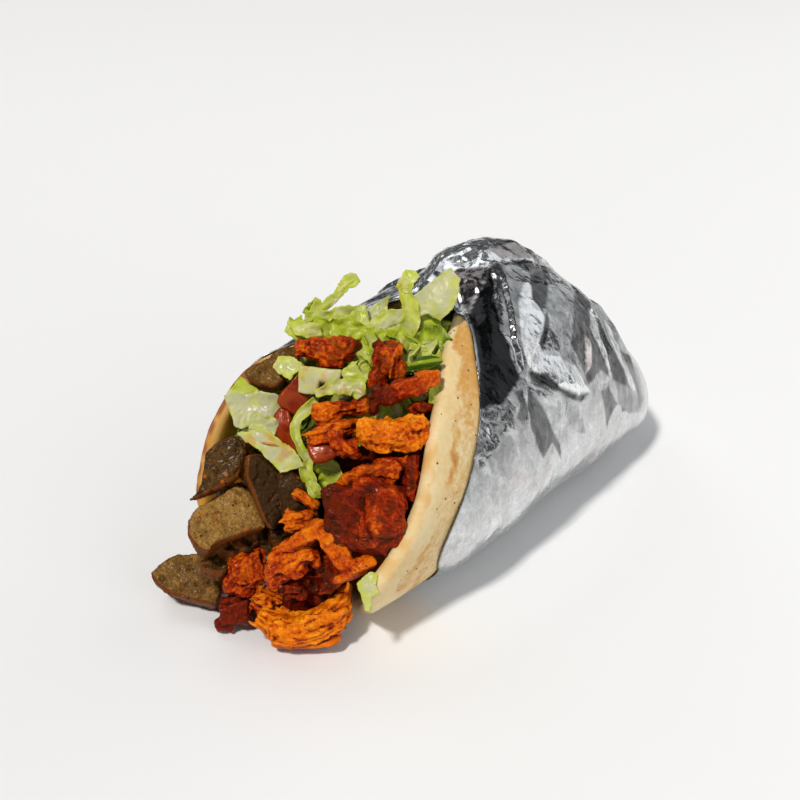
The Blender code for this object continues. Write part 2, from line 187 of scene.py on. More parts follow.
def skinOf(bm, name, voxel, turns):
    # One even skin over everything in a mesh, and the places of its vertices
    mesh = evaluated(meshFrom(bm, name), type="REMESH", mode="VOXEL", voxel_size=voxel * mm)
    mesh.shade_smooth()
    co = relaxed(mesh, coordsOf(mesh), turns)
    setCoords(mesh, co)
    return mesh, co


def raised(mesh, co, height):
    # Moves vertices outwards by heights in millimetres, and keeps them above the floor
    co = co + normalsOf(mesh) * height[:, None] * mm
    co[:, 2] = np.maximum(co[:, 2], floorSpec["drop"])
    setCoords(mesh, co)
    return co


def seenFrom(co, middle, axes):
    # Places from a middle along three directions, in millimetres
    return (co - np.array(middle)) @ np.array(axes) / mm


def strayWay(draw, spread=1):
    return Vector([draw.gauss(0, spread) for _ in range(3)])


def tilted(axes, draw, spread):
    axes = axes @ Matrix.Rotation(draw.gauss(0, spread), 3, "X")
    return axes @ Matrix.Rotation(draw.gauss(0, spread), 3, "Y")


def addPiece(name, mesh, material, slot, *replaced):
    mesh.materials.clear()
    mesh.materials.append(material)
    piece = bpy.data.objects.new(name, mesh)
    mesh.name = name
    bpy.context.collection.objects.link(piece)
    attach(piece, "root")
    if replaced:
        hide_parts(*replaced)
    return piece


# The camera, the lights and the floor. Distances of the lights are in metres
cameraSpec = {"aim": (0.14, -22.64, 59.5), "distance": 510, "lens": 68}
keySpec = {"azimuth": 12, "elevation": 54, "strength": 2.6, "angle": 6, "color": (1.0, 0.975, 0.94)}
softSpecs = (
    {"name": "side_panel", "azimuth": -100, "elevation": 50, "distance": 1.1, "size": 0.8, "power": 2.4},
    {"name": "back_panel", "azimuth": 155, "elevation": 32, "distance": 1.0, "size": 1.1, "power": 2.9},
    {"name": "low_panel", "azimuth": 78, "elevation": 26, "distance": 1.1, "size": 0.8, "power": 3.2},
)
panelColor = (0.97, 0.985, 1.0)
skyColor = (0.080, 0.083, 0.088)
floorSpec = {"size": 6, "drop": 0.0002, "color": (0.86, 0.86, 0.86), "roughness": 0.7}


def addAimed(name, data, back, spot=Vector()):
    # A light or camera at a spot, with its back towards a direction
    holder = bpy.data.objects.new(name, data)
    holder.location = spot
    holder.rotation_euler = back.to_track_quat("Z", "Y").to_euler()
    bpy.context.collection.objects.link(holder)
    return holder


def addCamera():
    data = bpy.data.cameras.new("camera")
    data.lens = cameraSpec["lens"]
    data.sensor_width = 36
    data.clip_start = 0.01
    back = directionAt(mouthTurn, mouthRise)
    spot = Vector(cameraSpec["aim"]) * mm + back * cameraSpec["distance"] * mm
    bpy.context.scene.camera = addAimed("camera", data, back, spot)


def addLights():
    sun = bpy.data.lights.new("key", "SUN")
    sun.energy = keySpec["strength"]
    sun.angle = math.radians(keySpec["angle"])
    sun.color = keySpec["color"]
    addAimed("key", sun, directionAt(keySpec["azimuth"], keySpec["elevation"]))
    for spec in softSpecs:
        panel = bpy.data.lights.new(spec["name"], "AREA")
        panel.size = spec["size"]
        panel.energy = spec["power"]
        panel.color = panelColor
        back = directionAt(spec["azimuth"], spec["elevation"])
        addAimed(spec["name"], panel, back, back * spec["distance"] + Vector((0, 0, 0.05)))
    world = bpy.data.worlds.new("studio")
    world.use_nodes = True
    world.node_tree.nodes["Background"].inputs["Color"].default_value = (*skyColor, 1)
    bpy.context.scene.world = world
    bpy.context.scene.view_settings.view_transform = "Standard"


def addFloor():
    bm = bmesh.new()
    bmesh.ops.create_grid(bm, x_segments=1, y_segments=1, size=floorSpec["size"])
    floor = bpy.data.objects.new("floor", meshFrom(bm, "floor"))
    floor.location.z = -floorSpec["drop"]
    bpy.context.collection.objects.link(floor)
    material = bpy.data.materials.new("floor")
    material.use_nodes = True
    shader = material.node_tree.nodes["Principled BSDF"]
    shader.inputs["Base Color"].default_value = (*floorSpec["color"], 1)
    shader.inputs["Roughness"].default_value = floorSpec["roughness"]
    floor.data.materials.append(material)


addCamera()
addLights()
addFloor()
print("camera, light and floor are set")

def fill(tree, node, inputs):
    # An input is given a number or a colour, or the socket that feeds it
    for key, value in inputs.items():
        socket = node.inputs[key]
        if isinstance(value, bpy.types.NodeSocket):
            tree.links.new(value, socket)
        else:
            socket.default_value = (*value, 1) if socket.type == "RGBA" else value


def put(tree, kind, inputs=None, **settings):
    made = tree.nodes.new("ShaderNode" + kind)
    for key, value in settings.items():
        setattr(made, key, value)
    fill(tree, made, inputs or {})
    return made


def mixed(tree, factor, first, second, blend="MIX"):
    inputs = {0: factor, 6: first, 7: second}
    return put(tree, "Mix", inputs, data_type="RGBA", blend_type=blend).outputs[2]


def maths(tree, operation, *values, clamp=False):
    return put(tree, "Math", dict(enumerate(values)), operation=operation, use_clamp=clamp).outputs[0]


def cloud(tree, place, scale, detail=2.0, roughness=0.5, distortion=0.0):
    # Soft noise, its scale counted to a unit of the place
    inputs = {"Vector": place, "Scale": scale, "Detail": detail, "Roughness": roughness,
              "Distortion": distortion}
    return put(tree, "TexNoise", inputs).outputs["Fac"]


def ranged(tree, value, low, high, outLow=0.0, outHigh=1.0):
    made = put(tree, "MapRange", {"Value": value, "From Min": low, "From Max": high, "To Min": outLow,
                                  "To Max": outHigh}, interpolation_type="SMOOTHSTEP")
    return made.outputs["Result"]


def colorSteps(tree, value, stops):
    made = put(tree, "ValToRGB", {"Fac": value})
    elements = made.color_ramp.elements
    while len(elements) < len(stops):
        elements.new(0.5)
    for element, (position, color) in zip(elements, stops):
        element.position = position
        element.color = (*color, 1)
    return made.outputs["Color"]


def attribute(tree, name, output="Fac"):
    return put(tree, "Attribute", attribute_name=name).outputs[output]


def newMaterial(name):
    material = bpy.data.materials.new(name)
    material.use_nodes = True
    tree = material.node_tree
    return material, tree, tree.nodes["Principled BSDF"]


def newGroup(name, inputs, outputs):
    # A shader node group with float or colour sockets: (name, kind, default)
    group = bpy.data.node_groups.new(name, "ShaderNodeTree")
    for label, kind, default in inputs:
        socket = group.interface.new_socket(label, in_out="INPUT", socket_type=kind)
        if default is not None:
            socket.default_value = default
    for label, kind in outputs:
        group.interface.new_socket(label, in_out="OUTPUT", socket_type=kind)
    return group, group.nodes.new("NodeGroupInput"), group.nodes.new("NodeGroupOutput")


def makeSpecks():
    # Scattered specks of spice: a mask that is 1 in each speck
    group, given, result = newGroup(
        "specks", (("Vector", "NodeSocketVector", None), ("Spacing", "NodeSocketFloat", 600.0),
                   ("Size", "NodeSocketFloat", 0.16), ("Share", "NodeSocketFloat", 0.35)),
        (("Mask", "NodeSocketFloat"),))
    cells = put(group, "TexVoronoi", {"Vector": given.outputs["Vector"], "Scale": given.outputs["Spacing"]})
    near = maths(group, "LESS_THAN", cells.outputs["Distance"], given.outputs["Size"])
    pick = put(group, "SeparateColor", {"Color": cells.outputs["Color"]})
    chosen = maths(group, "LESS_THAN", pick.outputs["Red"], given.outputs["Share"])
    fill(group, result, {"Mask": maths(group, "MULTIPLY", near, chosen)})
    return group


def makeGranules():
    # Fine grains as a height, with a second finer level
    group, given, result = newGroup(
        "granules", (("Vector", "NodeSocketVector", None), ("Scale", "NodeSocketFloat", 900.0)),
        (("Height", "NodeSocketFloat"),))
    vector, scale = given.outputs["Vector"], given.outputs["Scale"]
    cells = put(group, "TexVoronoi", {"Vector": vector, "Scale": scale})
    coarse = cloud(group, vector, scale, 3.0, 0.6)
    fill(group, result, {"Height": maths(group, "MULTIPLY_ADD", cells.outputs["Distance"], -0.6, coarse)})
    return group


specksGroup = makeSpecks()
granulesGroup = makeGranules()


def specksAt(tree, place, spacing, size, share):
    inputs = {"Vector": place, "Spacing": spacing, "Size": size, "Share": share}
    return put(tree, "Group", inputs, node_tree=specksGroup).outputs["Mask"]


def grainsAt(tree, place, scale):
    return put(tree, "Group", {"Vector": place, "Scale": scale}, node_tree=granulesGroup).outputs["Height"]


def objectPlace(tree):
    return put(tree, "TexCoord").outputs["Object"]


def bumped(tree, shader, height, strength, distance, before=None):
    made = put(tree, "Bump", {"Height": height, "Strength": strength, "Distance": distance * mm})
    if before is not None:
        tree.links.new(before, made.inputs["Normal"])
    tree.links.new(made.outputs["Normal"], shader.inputs["Normal"])
    return made.outputs["Normal"]


# Chunks of spiced chicken and slices of doner
chickenLook = {
    "char": (0.014, 0.002, 0.001), "deep": (0.110, 0.003, 0.001), "red": (0.330, 0.018, 0.001),
    "orange": (0.620, 0.105, 0.002), "gold": (0.800, 0.215, 0.003), "pale": (0.880, 0.350, 0.016),
    "roughness": 0.44, "coat": 0.05, "glint": (1.0, 0.42, 0.12),
}
donerLook = {
    "crust": (0.125, 0.032, 0.004), "dark": (0.026, 0.010, 0.002), "face": (0.140, 0.066, 0.012),
    "pale": (0.400, 0.215, 0.052), "speck": (0.008, 0.006, 0.004), "spice": (0.40, 0.09, 0.006),
    "coat": 0.04, "glint": (1.0, 0.62, 0.30),
}


def makeChickenMaterial():
    material, tree, shader = newMaterial("spiced_chicken")
    look = chickenLook
    place = objectPlace(tree)
    strands = cloud(tree, attribute(tree, "strand", "Vector"), 1.0, 4.0, 0.6)
    patches = cloud(tree, place, 950.0, 3.0, 0.6)
    # The warmth level carries painted shade as well as the meat's own colour
    warmth = maths(tree, "ADD", attribute(tree, "warmth"), ranged(tree, strands, 0.2, 0.8, -0.10, 0.10))
    warmth = maths(tree, "ADD", warmth, ranged(tree, patches, 0.3, 0.7, -0.15, 0.11))
    color = colorSteps(tree, warmth, ((0.0, look["deep"]), (0.25, look["red"]), (0.50, look["orange"]),
                                      (0.76, look["gold"]), (1.0, look["pale"])))
    # This mask darkens both real char and the painted shade in hollows
    charred = maths(tree, "MULTIPLY", attribute(tree, "char"), ranged(tree, patches, 0.3, 0.6, 0.5, 1.0))
    color = mixed(tree, charred, color, look["char"])
    specks = specksAt(tree, place, 620.0, 0.2, 0.2)
    color = mixed(tree, maths(tree, "MULTIPLY", specks, 0.8), color, look["char"])
    rough = ranged(tree, patches, 0.3, 0.7, look["roughness"] - 0.12, look["roughness"] + 0.2)
    fill(tree, shader, {
        "Base Color": color, "Roughness": rough, "Coat Weight": look["coat"], "Coat Roughness": 0.12,
        "Specular IOR Level": 0.34, "Specular Tint": look["glint"], "Subsurface Weight": 0.06,
        "Subsurface Radius": (1.0, 0.25, 0.08), "Subsurface Scale": 0.0010})
    first = bumped(tree, shader, strands, 0.8, 0.5)
    bumped(tree, shader, grainsAt(tree, place, 1300.0), 0.8, 0.25, first)
    return material


def makeDonerMaterial():
    material, tree, shader = newMaterial("doner")
    look = donerLook
    place = objectPlace(tree)
    mottle = cloud(tree, place, 480.0, 5.0, 0.7)
    fine = cloud(tree, place, 1900.0)
    tone = maths(tree, "ADD", maths(tree, "MULTIPLY", mottle, 0.6), maths(tree, "MULTIPLY", fine, 0.4))
    # The per-slice level brings a slice's own lightness, and painted shade with depth and for slices in
    # shade
    tone = maths(tree, "ADD", tone, attribute(tree, "sunned"))
    color = colorSteps(tree, tone, ((0.30, look["dark"]), (0.50, look["face"]), (0.72, look["pale"])))
    rim = maths(tree, "ADD", attribute(tree, "crust"), ranged(tree, mottle, 0.3, 0.7, -0.25, 0.25))
    color = mixed(tree, ranged(tree, rim, 0.25, 0.75), color, look["crust"])
    # Hollows are darkened: painted shade
    color = mixed(tree, attribute(tree, "hollow"), color, look["dark"])
    spice = specksAt(tree, place, 350.0, 0.22, 0.10)
    color = mixed(tree, maths(tree, "MULTIPLY", spice, 0.8), color, look["spice"])
    color = mixed(tree, specksAt(tree, place, 520.0, 0.2, 0.22), color, look["speck"])
    fill(tree, shader, {
        "Base Color": color, "Roughness": ranged(tree, fine, 0.3, 0.7, 0.34, 0.62),
        "Specular IOR Level": 0.28, "Specular Tint": look["glint"], "Coat Weight": look["coat"],
        "Coat Roughness": 0.14})
    bumped(tree, shader, grainsAt(tree, place, 1500.0), 1.0, 0.22)
    return material


def addStrand(bm, at, along, lift, length, radius, bend):
    # A tapered strand of meat that runs along from a point and bends towards lift by that many degrees
    made = bmesh.ops.create_uvsphere(bm, u_segments=7, v_segments=10, radius=1)
    side = along.cross(lift).normalized()
    total = math.radians(bend)
    for vert in made["verts"]:
        t = (vert.co.z + 1) / 2
        turn = total * (t - 0.5)
        if abs(total) > 0.05:
            curve = length / total
            middle = along * curve * math.sin(turn) + lift * curve * (1 - math.cos(turn))
        else:
            middle = along * length * (t - 0.5)
        out = lift * math.cos(turn) - along * math.sin(turn)
        vert.co = at + middle + side * vert.co.x * radius + out * vert.co.y * radius


def addCrumb(bm, at, radius, draw):
    made = bmesh.ops.create_icosphere(bm, subdivisions=1, radius=1)
    sizes = Vector([radius * draw.uniform(0.6, 1.3) for _ in range(3)])
    for vert in made["verts"]:
        vert.co = at + Vector([vert.co[k] * sizes[k] for k in range(3)])


def dressChunk(bm, spec, axes, draw):
    # Lays strands over a chunk along its grain, and crumbs of spice and meat
    points = [vert.co.copy() for vert in bm.verts]
    centre = sum(points, Vector()) / len(points)
    tree = BVHTree.FromBMesh(bm)
    size = max((point - centre).length for point in points)
    for k in range(spec["strands"] + spec["crumbs"]):
        away = strayWay(draw).normalized()
        away = (away + mouthAxes().col[2] * 0.5).normalized()
        start = points[draw.randrange(len(points))] * 0.6 + centre * 0.4
        at, normal = tree.ray_cast(start + away * size * 2, -away)[:2]
        if at is None:
            continue
        if k >= spec["strands"]:
            addCrumb(bm, at, draw.uniform(*spec["crumbSize"]) * mm, draw)
            continue
        along = axes.col[0] + strayWay(draw, spec["stray"])
        along = (along - normal * along.dot(normal)).normalized()
        radius = draw.uniform(*spec["thick"]) * mm
        length = draw.uniform(*spec["long"]) * mm
        bend = draw.uniform(*spec["bend"])
        addStrand(bm, at - normal * radius * 0.3, along, -normal, length, radius, bend)


chickenBase = {"strands": 10, "stray": 0.25, "thick": (0.6, 1.3), "long": (3.5, 7), "bend": (20, 80),
    "grain": 0, "crumbs": 40, "crumbSize": (0.35, 0.8), "fibre": 0.6, "across": 1.5, "lumps": 0.7,
    "granules": 0.35, "warmth": 0.46, "spread": 0.13, "char": 0.3, "burnt": None, "calm": 0.3, "boxy": 0.62,
    "arc": None, "voxel": 0.42, "core": 2.6}
# Chunks that sit in shade, such as chicken_09 and chicken_19, are given low warmth levels: painted shade
chickenSpecs = {
    "chicken_01": {"grain": -6, "warmth": 0.3, "char": 0.42, "granules": 0.6, "crumbs": 90, "strands": 4,
        "burnt": (1.0, 0.3)},
    "chicken_02": {"grain": 75, "warmth": 0.32, "char": 0.5, "granules": 0.5, "crumbs": 60,
        "burnt": (-0.5, 1.0)},
    "chicken_03": {"calm": 0.8, "grain": 20, "warmth": 0.12, "char": 0.3, "burnt": (-1.0, -0.4),
        "granules": 0.3, "boxy": 0.5},
    "chicken_04": {"grain": 14, "warmth": 0.33, "char": 0.2, "granules": 0.3, "lumps": 0.6},
    "chicken_05": {"grain": 18, "warmth": 0.38, "char": 0.35, "strands": 26, "thick": (0.4, 0.9),
        "long": (5, 9), "bend": (10, 40), "stray": 0.12, "crumbs": 25},
    "chicken_06": {"grain": 10, "warmth": 0.57, "char": 0.24, "granules": 0.5, "boxy": 0.5, "crumbs": 110,
        "strands": 6},
    "chicken_07": {"grain": -35, "warmth": 0.22, "char": 0.4, "strands": 16, "bend": (60, 200),
        "long": (3, 6), "thick": (0.5, 0.9)},
    "chicken_08": {"grain": 15, "warmth": 0.3, "char": 0.4, "strands": 40, "thick": (0.4, 0.8),
        "bend": (60, 260), "long": (4, 9), "stray": 0.6},
    "chicken_09": {"calm": 0.5, "grain": -20, "warmth": 0.09, "char": 0.5, "strands": 34,
        "burnt": (-1.0, -0.1), "crumbs": 60, "boxy": 0.5, "long": (4, 9), "thick": (0.5, 1.1)},
    "chicken_10": {"grain": 80, "warmth": 0.1, "char": 0.5},
    "chicken_11": {"grain": -45, "warmth": 0.48, "char": 0.2, "strands": 8, "long": (4, 7), "crumbs": 15},
    "chicken_12": {"grain": 10, "warmth": 0.44, "char": 0.2, "strands": 7, "long": (4, 8), "crumbs": 18},
    "chicken_13": {"grain": -50, "warmth": 0.39, "char": 0.15, "strands": 3, "granules": 0.2, "lumps": 0.4,
        "crumbs": 24, "core": None, "boxy": 0.5, "fibre": 0.35},
    "chicken_14": {"grain": 22, "warmth": 0.34, "char": 0.35, "strands": 10, "thick": (0.8, 1.5),
        "bend": (60, 160), "granules": 0.25},
    "chicken_15": {"grain": 65, "warmth": 0.27, "char": 0.3, "granules": 0.45, "strands": 4, "crumbs": 70,
        "boxy": 0.5},
    "chicken_16": {"grain": 35, "warmth": -0.05, "char": 0.35, "granules": 0.45, "strands": 5, "crumbs": 60,
        "boxy": 0.5},
    "chicken_17": {"grain": 4, "warmth": 0.6, "char": 0.2, "strands": 22, "thick": (0.7, 1.4), "crumbs": 60,
        "long": (6, 11), "bend": (20, 60), "arc": (2, 20), "fibre": 1.3, "across": 2.3, "granules": 0.25},
    "chicken_18": {"grain": 70, "warmth": 0.04, "char": 0.45, "strands": 7},
    "chicken_19": {"grain": 30, "warmth": 0.1, "char": 0.6},
    "chicken_20": {"grain": 5, "warmth": 0.16, "char": 0.5, "strands": 5, "long": (3, 6), "crumbs": 15},
    "chicken_21": {"grain": -30, "warmth": 0.48, "char": 0.25, "strands": 14, "long": (7, 12),
        "fibre": 1.2},
}
# The lobes of each chunk: x, y, z from its middle, half width and height, degrees of roll, how much warmer.
# Lobes set back behind the others are made darker, as painted shade in the gaps
chunkLobes = {
    "chicken_01": ((1.2, 0.6, 0, 7.8, 4.1, 0, 0), (-2.7, 2.3, 1.5, 3.9, 3, 0, 0.05),
        (4.5, 2, 1.5, 5.1, 3.5, -5, 0.06), (1.4, -2.9, 1, 5.1, 2.4, 5, -0.06),
        (-7.6, 1.7, 0, 3.5, 2.9, 0, 0), (-8.9, 0.4, 0, 1.9, 1.8, 0, -0.1),
        (-4.8, -1, 0, 2.6, 1.9, 0, -0.08), (9, 2.4, 0, 1.7, 1.9, 0, -0.22)),
    "chicken_02": ((1.7, 3.8, 1, 3.8, 3.6, -15, 0.16), (-0.3, -0.6, 0, 4.2, 3.8, 0, -0.04),
        (4, -2.4, 0, 2.8, 3.3, 0, 0.02), (-2.9, -5.3, 0, 3.3, 3.3, 0, -0.12),
        (-1.2, -8.3, 0, 3, 1.9, 0, -0.14), (-3.2, 5.7, 1, 1.5, 1.5, 0, -0.3),
        (-2, 2.8, 1, 2.3, 2.6, 0, -0.18)),
    "chicken_03": ((6.9, 3.7, 1, 4.6, 2.9, 15, 0.3), (1.8, 1.4, 1, 6.1, 3.2, 17, 0.1),
        (-4.1, -1.2, 0, 4.6, 3.2, 15, -0.02), (9.6, 4.6, 1, 2, 2.4, 0, 0.3),
        (-9.7, -3.6, -1, 1.7, 3.8, 0, -0.24), (-8.7, 0.2, 0, 2.1, 2.4, 0, -0.12)),
    "chicken_04": ((-5.1, -1.3, 1.5, 4, 3.5, 0, 0.12), (-1.9, -0.3, 0, 4, 2.6, 10, 0),
        (2.7, -0.3, 0, 3.7, 2.3, 5, -0.04), (7.2, 0.6, 0, 3.2, 2.9, 0, 0.1),
        (-2.9, -3.8, 1, 4.8, 1.6, 14, -0.02)),
    "chicken_05": ((-0.5, 0.8, 0, 8.2, 1.3, 17, 0.04), (2, 2.6, 1, 7.2, 1.1, 14, -0.04),
        (-1.1, -1.3, 1, 6.4, 1.3, 21, 0.06), (-4.8, -1.9, 0, 3.1, 2.1, 28, 0.02),
        (6.5, 3.3, 0, 5, 1.1, 8, 0.06), (-3.8, 0.2, 2, 3.8, 1.1, 30, 0.1), (4, 0.2, 0, 5, 1.1, 12, -0.1)),
    "chicken_06": ((-3.3, 1.1, 1, 5.1, 4.2, 0, 0.06), (3.1, 0.2, 0, 6.6, 4.9, 0, 0.06),
        (9.5, 3.5, 0, 5.1, 2.9, 8, 0.04), (7.8, -1.9, 0, 5.3, 3.2, 0, 0), (13, 2.2, 0, 2.2, 2.5, 0, -0.2),
        (-1, -2.9, 0, 4.4, 2.7, -10, 0.02), (11.6, -1.2, 0, 2.4, 2.4, 0, -0.1)),
    "chicken_07": ((-2, 3.8, 0, 2.7, 2.9, 0, 0), (1.8, 1.3, 1, 2.6, 3.1, 0, 0.04),
        (-0.9, 0.6, 0, 2.1, 2.2, 0, -0.05), (-3.7, 5.5, 0, 1.7, 1.7, 0, -0.05),
        (3.5, -1.1, 1, 1.6, 1.5, 0, 0.1)),
    "chicken_08": ((-6, -1.7, 0, 4.9, 2.2, 22, 0.08), (-0.1, 0.4, 1, 5.8, 1.9, 12, 0.04),
        (4.2, 2.6, 0, 4.6, 1.5, 5, -0.1), (6.4, -0.2, 2, 2.5, 2.6, 0, 0.02),
        (9.5, 2.2, 0, 2.9, 2, 0, -0.08), (-1.8, -2.6, 1, 4.6, 1.4, 12, 0.04),
        (-9.3, -3.9, 0, 2.6, 1.5, 25, 0.1), (11.2, 3.9, -1, 1.5, 1.7, 0, -0.14),
        (4.7, -3.2, 1, 2.2, 1.3, 0, 0)),
    "chicken_09": ((-2.4, 6.1, 0, 6.1, 5.1, 0, -0.16), (-5.3, 9.6, 1, 3.7, 2.9, 20, -0.05),
        (-3.7, 1, 0, 4.1, 4.9, 0, -0.2), (-0.3, -3.4, 0, 4.9, 3.6, -10, -0.1),
        (4.2, 10.7, 0, 9.2, 2.5, 6, -0.06), (6.6, 12.5, 1, 5.8, 1.7, 5, 0.02),
        (10.6, 3.1, 0, 6.8, 8.5, 4, 0.1), (13, -2, 0, 4.6, 5.3, 0, 0), (7.4, -0.7, 0, 5.1, 5.1, 0, 0.04),
        (4.8, -4.9, 0, 6.1, 3.6, 5, 0.04), (15.2, 7.4, -1, 2.7, 4.9, 0, -0.16),
        (7.6, -7.6, 0, 5.6, 1.6, 0, -0.18)),
    "chicken_10": ((0, 0.3, 0, 2.8, 5, 0, 0), (0.6, -4.8, 0, 2.4, 4.1, 0, -0.06),
        (1.3, 4.7, 0, 2.4, 2.4, 0, -0.1)),
    "chicken_11": ((-0.5, 0.4, 0, 3.8, 1.6, -36, 0.05), (2.1, -1.6, 0, 2.3, 1.8, -20, -0.05),
        (-2.6, 2, 0, 1.7, 1, -50, 0.05)),
    "chicken_12": ((-0.7, -0.6, 0, 3.2, 3.3, 0, 0.05), (2.9, 0.7, 0, 2.6, 2, 0, -0.06),
        (-2, -2.8, 0, 2.1, 1.6, 0, 0.04), (2.1, -1.9, 0, 2.1, 1.8, 0, 0)),
    "chicken_13": ((-5.8, 8.9, 1, 4.3, 2.7, 30, 0.1), (-9.4, 6.4, 0, 4.3, 2.4, 35, 0.06),
        (-13.4, 4.1, -1, 3.6, 1.9, 20, -0.1), (-1.7, 7.5, 1, 4.4, 3.8, -46, 0.1),
        (1.2, 3.2, 0, 4.8, 3.8, -53, 0.08), (3.7, -1.1, 0, 4.3, 3.4, -56, 0),
        (8.9, -2, 1, 4.9, 2.6, 24, 0.06), (3.8, -5.8, 1, 4.4, 1.5, 22, 0.08),
        (6.7, -3.5, 1, 4.6, 2.6, 28, -0.04)),
    "chicken_14": ((0.9, 3.8, 1, 5, 1.8, 8, -0.05), (5.7, 2.5, 2, 3.8, 2.4, -15, 0.08),
        (8.8, 0.8, 1, 1.8, 3.2, 10, -0.14), (-2.6, 0.7, 0, 2.8, 3.7, -15, 0.12),
        (-4.7, -3.6, 0, 2.4, 4.1, -10, -0.04), (2.2, -0.5, 1, 5.2, 2.4, 28, 0.1),
        (-0.4, -4.2, 0, 4.1, 2.2, 25, -0.1), (-3.8, -7.5, 1, 2.8, 1.6, 0, -0.14),
        (4.1, -3.3, 0, 3.6, 1.5, 30, -0.16), (9.9, 3.3, -8, 3.9, 3.5, 0, -0.2)),
    "chicken_15": ((0.8, 3, 0, 4.7, 3.3, 0, 0), (-2.8, -0.9, 0, 4.3, 4.8, 0, 0.05),
        (1.3, -2.2, 1, 4.7, 4.3, 0, 0.08), (-4.1, -5.4, 0, 3.8, 3.6, 0, -0.1),
        (4, 4.5, 1, 2.5, 1.8, 0, -0.1), (-0.9, -7.4, 0, 3.9, 2.5, 0, -0.06)),
    "chicken_16": ((-1.6, -0.9, 0, 4.3, 4.3, 0, 0.02), (-3, -5, 0, 3.1, 3.1, 0, -0.04),
        (2.1, -2.3, 0, 3.2, 3.9, 0, -0.08), (-5.1, -5.9, 0, 1.9, 1.4, 0, 0),
        (0.6, 2.2, 0, 3.6, 2.2, 0, -0.06), (-3.2, 7, -4, 2.7, 3.8, 0, -0.2),
        (3.8, -0.8, -6, 3.5, 4.0, 0, -0.25)),
    "chicken_17": ((15.2, 10.4, 0, 2.6, 4, -8, -0.04), (13.5, 5.4, 0, 4.2, 5.3, 0, 0),
        (10.1, 2.8, 0, 6.3, 5.1, 20, 0.04), (6.6, 0.3, 0, 6.5, 5.3, 0, 0.06),
        (1.3, -1.4, 0, 7.7, 5.1, 0, 0.06), (-5.7, -0.5, 0, 6.4, 4.7, -15, 0.04),
        (-10.5, 1.6, 0, 3.3, 3.7, -20, 0), (-0.5, -5.8, -1, 8.5, 2.3, 0, -0.06),
        (8.5, -4.6, -1, 6.2, 3, 10, -0.06)),
    "chicken_18": ((1.2, 0.3, 0, 3.5, 3.3, 0, -0.02), (3.6, -2.1, 1, 2.2, 2.1, 0, -0.06),
        (-0.4, -2.1, 1, 2, 1.7, 0, -0.06), (4.4, 1.9, 0, 2, 1.6, 0, 0.05),
        (2.9, -6.9, -8, 3.9, 2.5, 0, -0.25), (0.3, -4.9, -6, 3.9, 2.7, 0, -0.25)),
    "chicken_19": ((-0.7, 4.9, 0, 3.8, 4.4, 0, 0), (1, 1, 0, 4.2, 2.8, 0, -0.05),
        (-4.6, -1.4, -4, 4.9, 3, 0, -0.2), (1.1, -2.3, -6, 4.4, 3.2, 0, -0.2),
        (-6.3, 2.5, -3, 3, 3.5, 0, -0.15), (-3.4, -6.5, -7, 4.8, 2.8, 0, -0.25)),
    "chicken_20": ((0.9, 0.8, 0, 3.8, 1.5, -5, 0), (-0.8, -0.9, 0, 2.4, 1.4, 0, -0.05)),
    "chicken_21": ((0.3, -0.3, 0, 4.3, 2.9, -35, 0.04), (3.8, -2.9, 1, 3.9, 2.2, -20, 0.08),
        (-2.9, -3.3, 0, 2.9, 2.9, -10, -0.02), (-2, 0.9, 0, 2.5, 1.6, -30, 0.02)),
}


def lobeAxes(lobe):
    x, y, z, wide, high, roll = lobe[:6]
    deep = max(0.9 * math.sqrt(wide * high), 1.6)
    return Vector((x, y, z)), Vector((wide, high, deep)), math.radians(roll)


def addLobe(bm, lobe, spec, middle, square, draw):
    centre, radii, roll = lobeAxes(lobe)
    made = bmesh.ops.create_icosphere(bm, subdivisions=3, radius=1)
    shift = Vector([draw.uniform(0, 20) for _ in range(3)])
    spin = tilted(Matrix.Rotation(roll, 3, "Z"), draw, 0.22)
    for vert in made["verts"]:
        swell = 0.92 + 0.14 * noise.noise(vert.co * 1.6 + shift) + 0.06 * noise.noise(vert.co * 4 + shift)
        squared = Vector([math.copysign(abs(value) ** spec["boxy"], value) for value in vert.co])
        local = centre + spin @ Vector([a * b for a, b in zip(squared, radii)]) * swell
        vert.co = middle + square @ local * mm


def bentGrain(local, arc):
    # Places along a grain that runs round a pivot at a radius
    if not arc:
        return local
    spoke = local - np.array((*arc, 0))
    return np.stack((np.arctan2(spoke[:, 0], -spoke[:, 1]) * arc[1], np.hypot(spoke[:, 0], spoke[:, 1]),
                     local[:, 2]), 1)


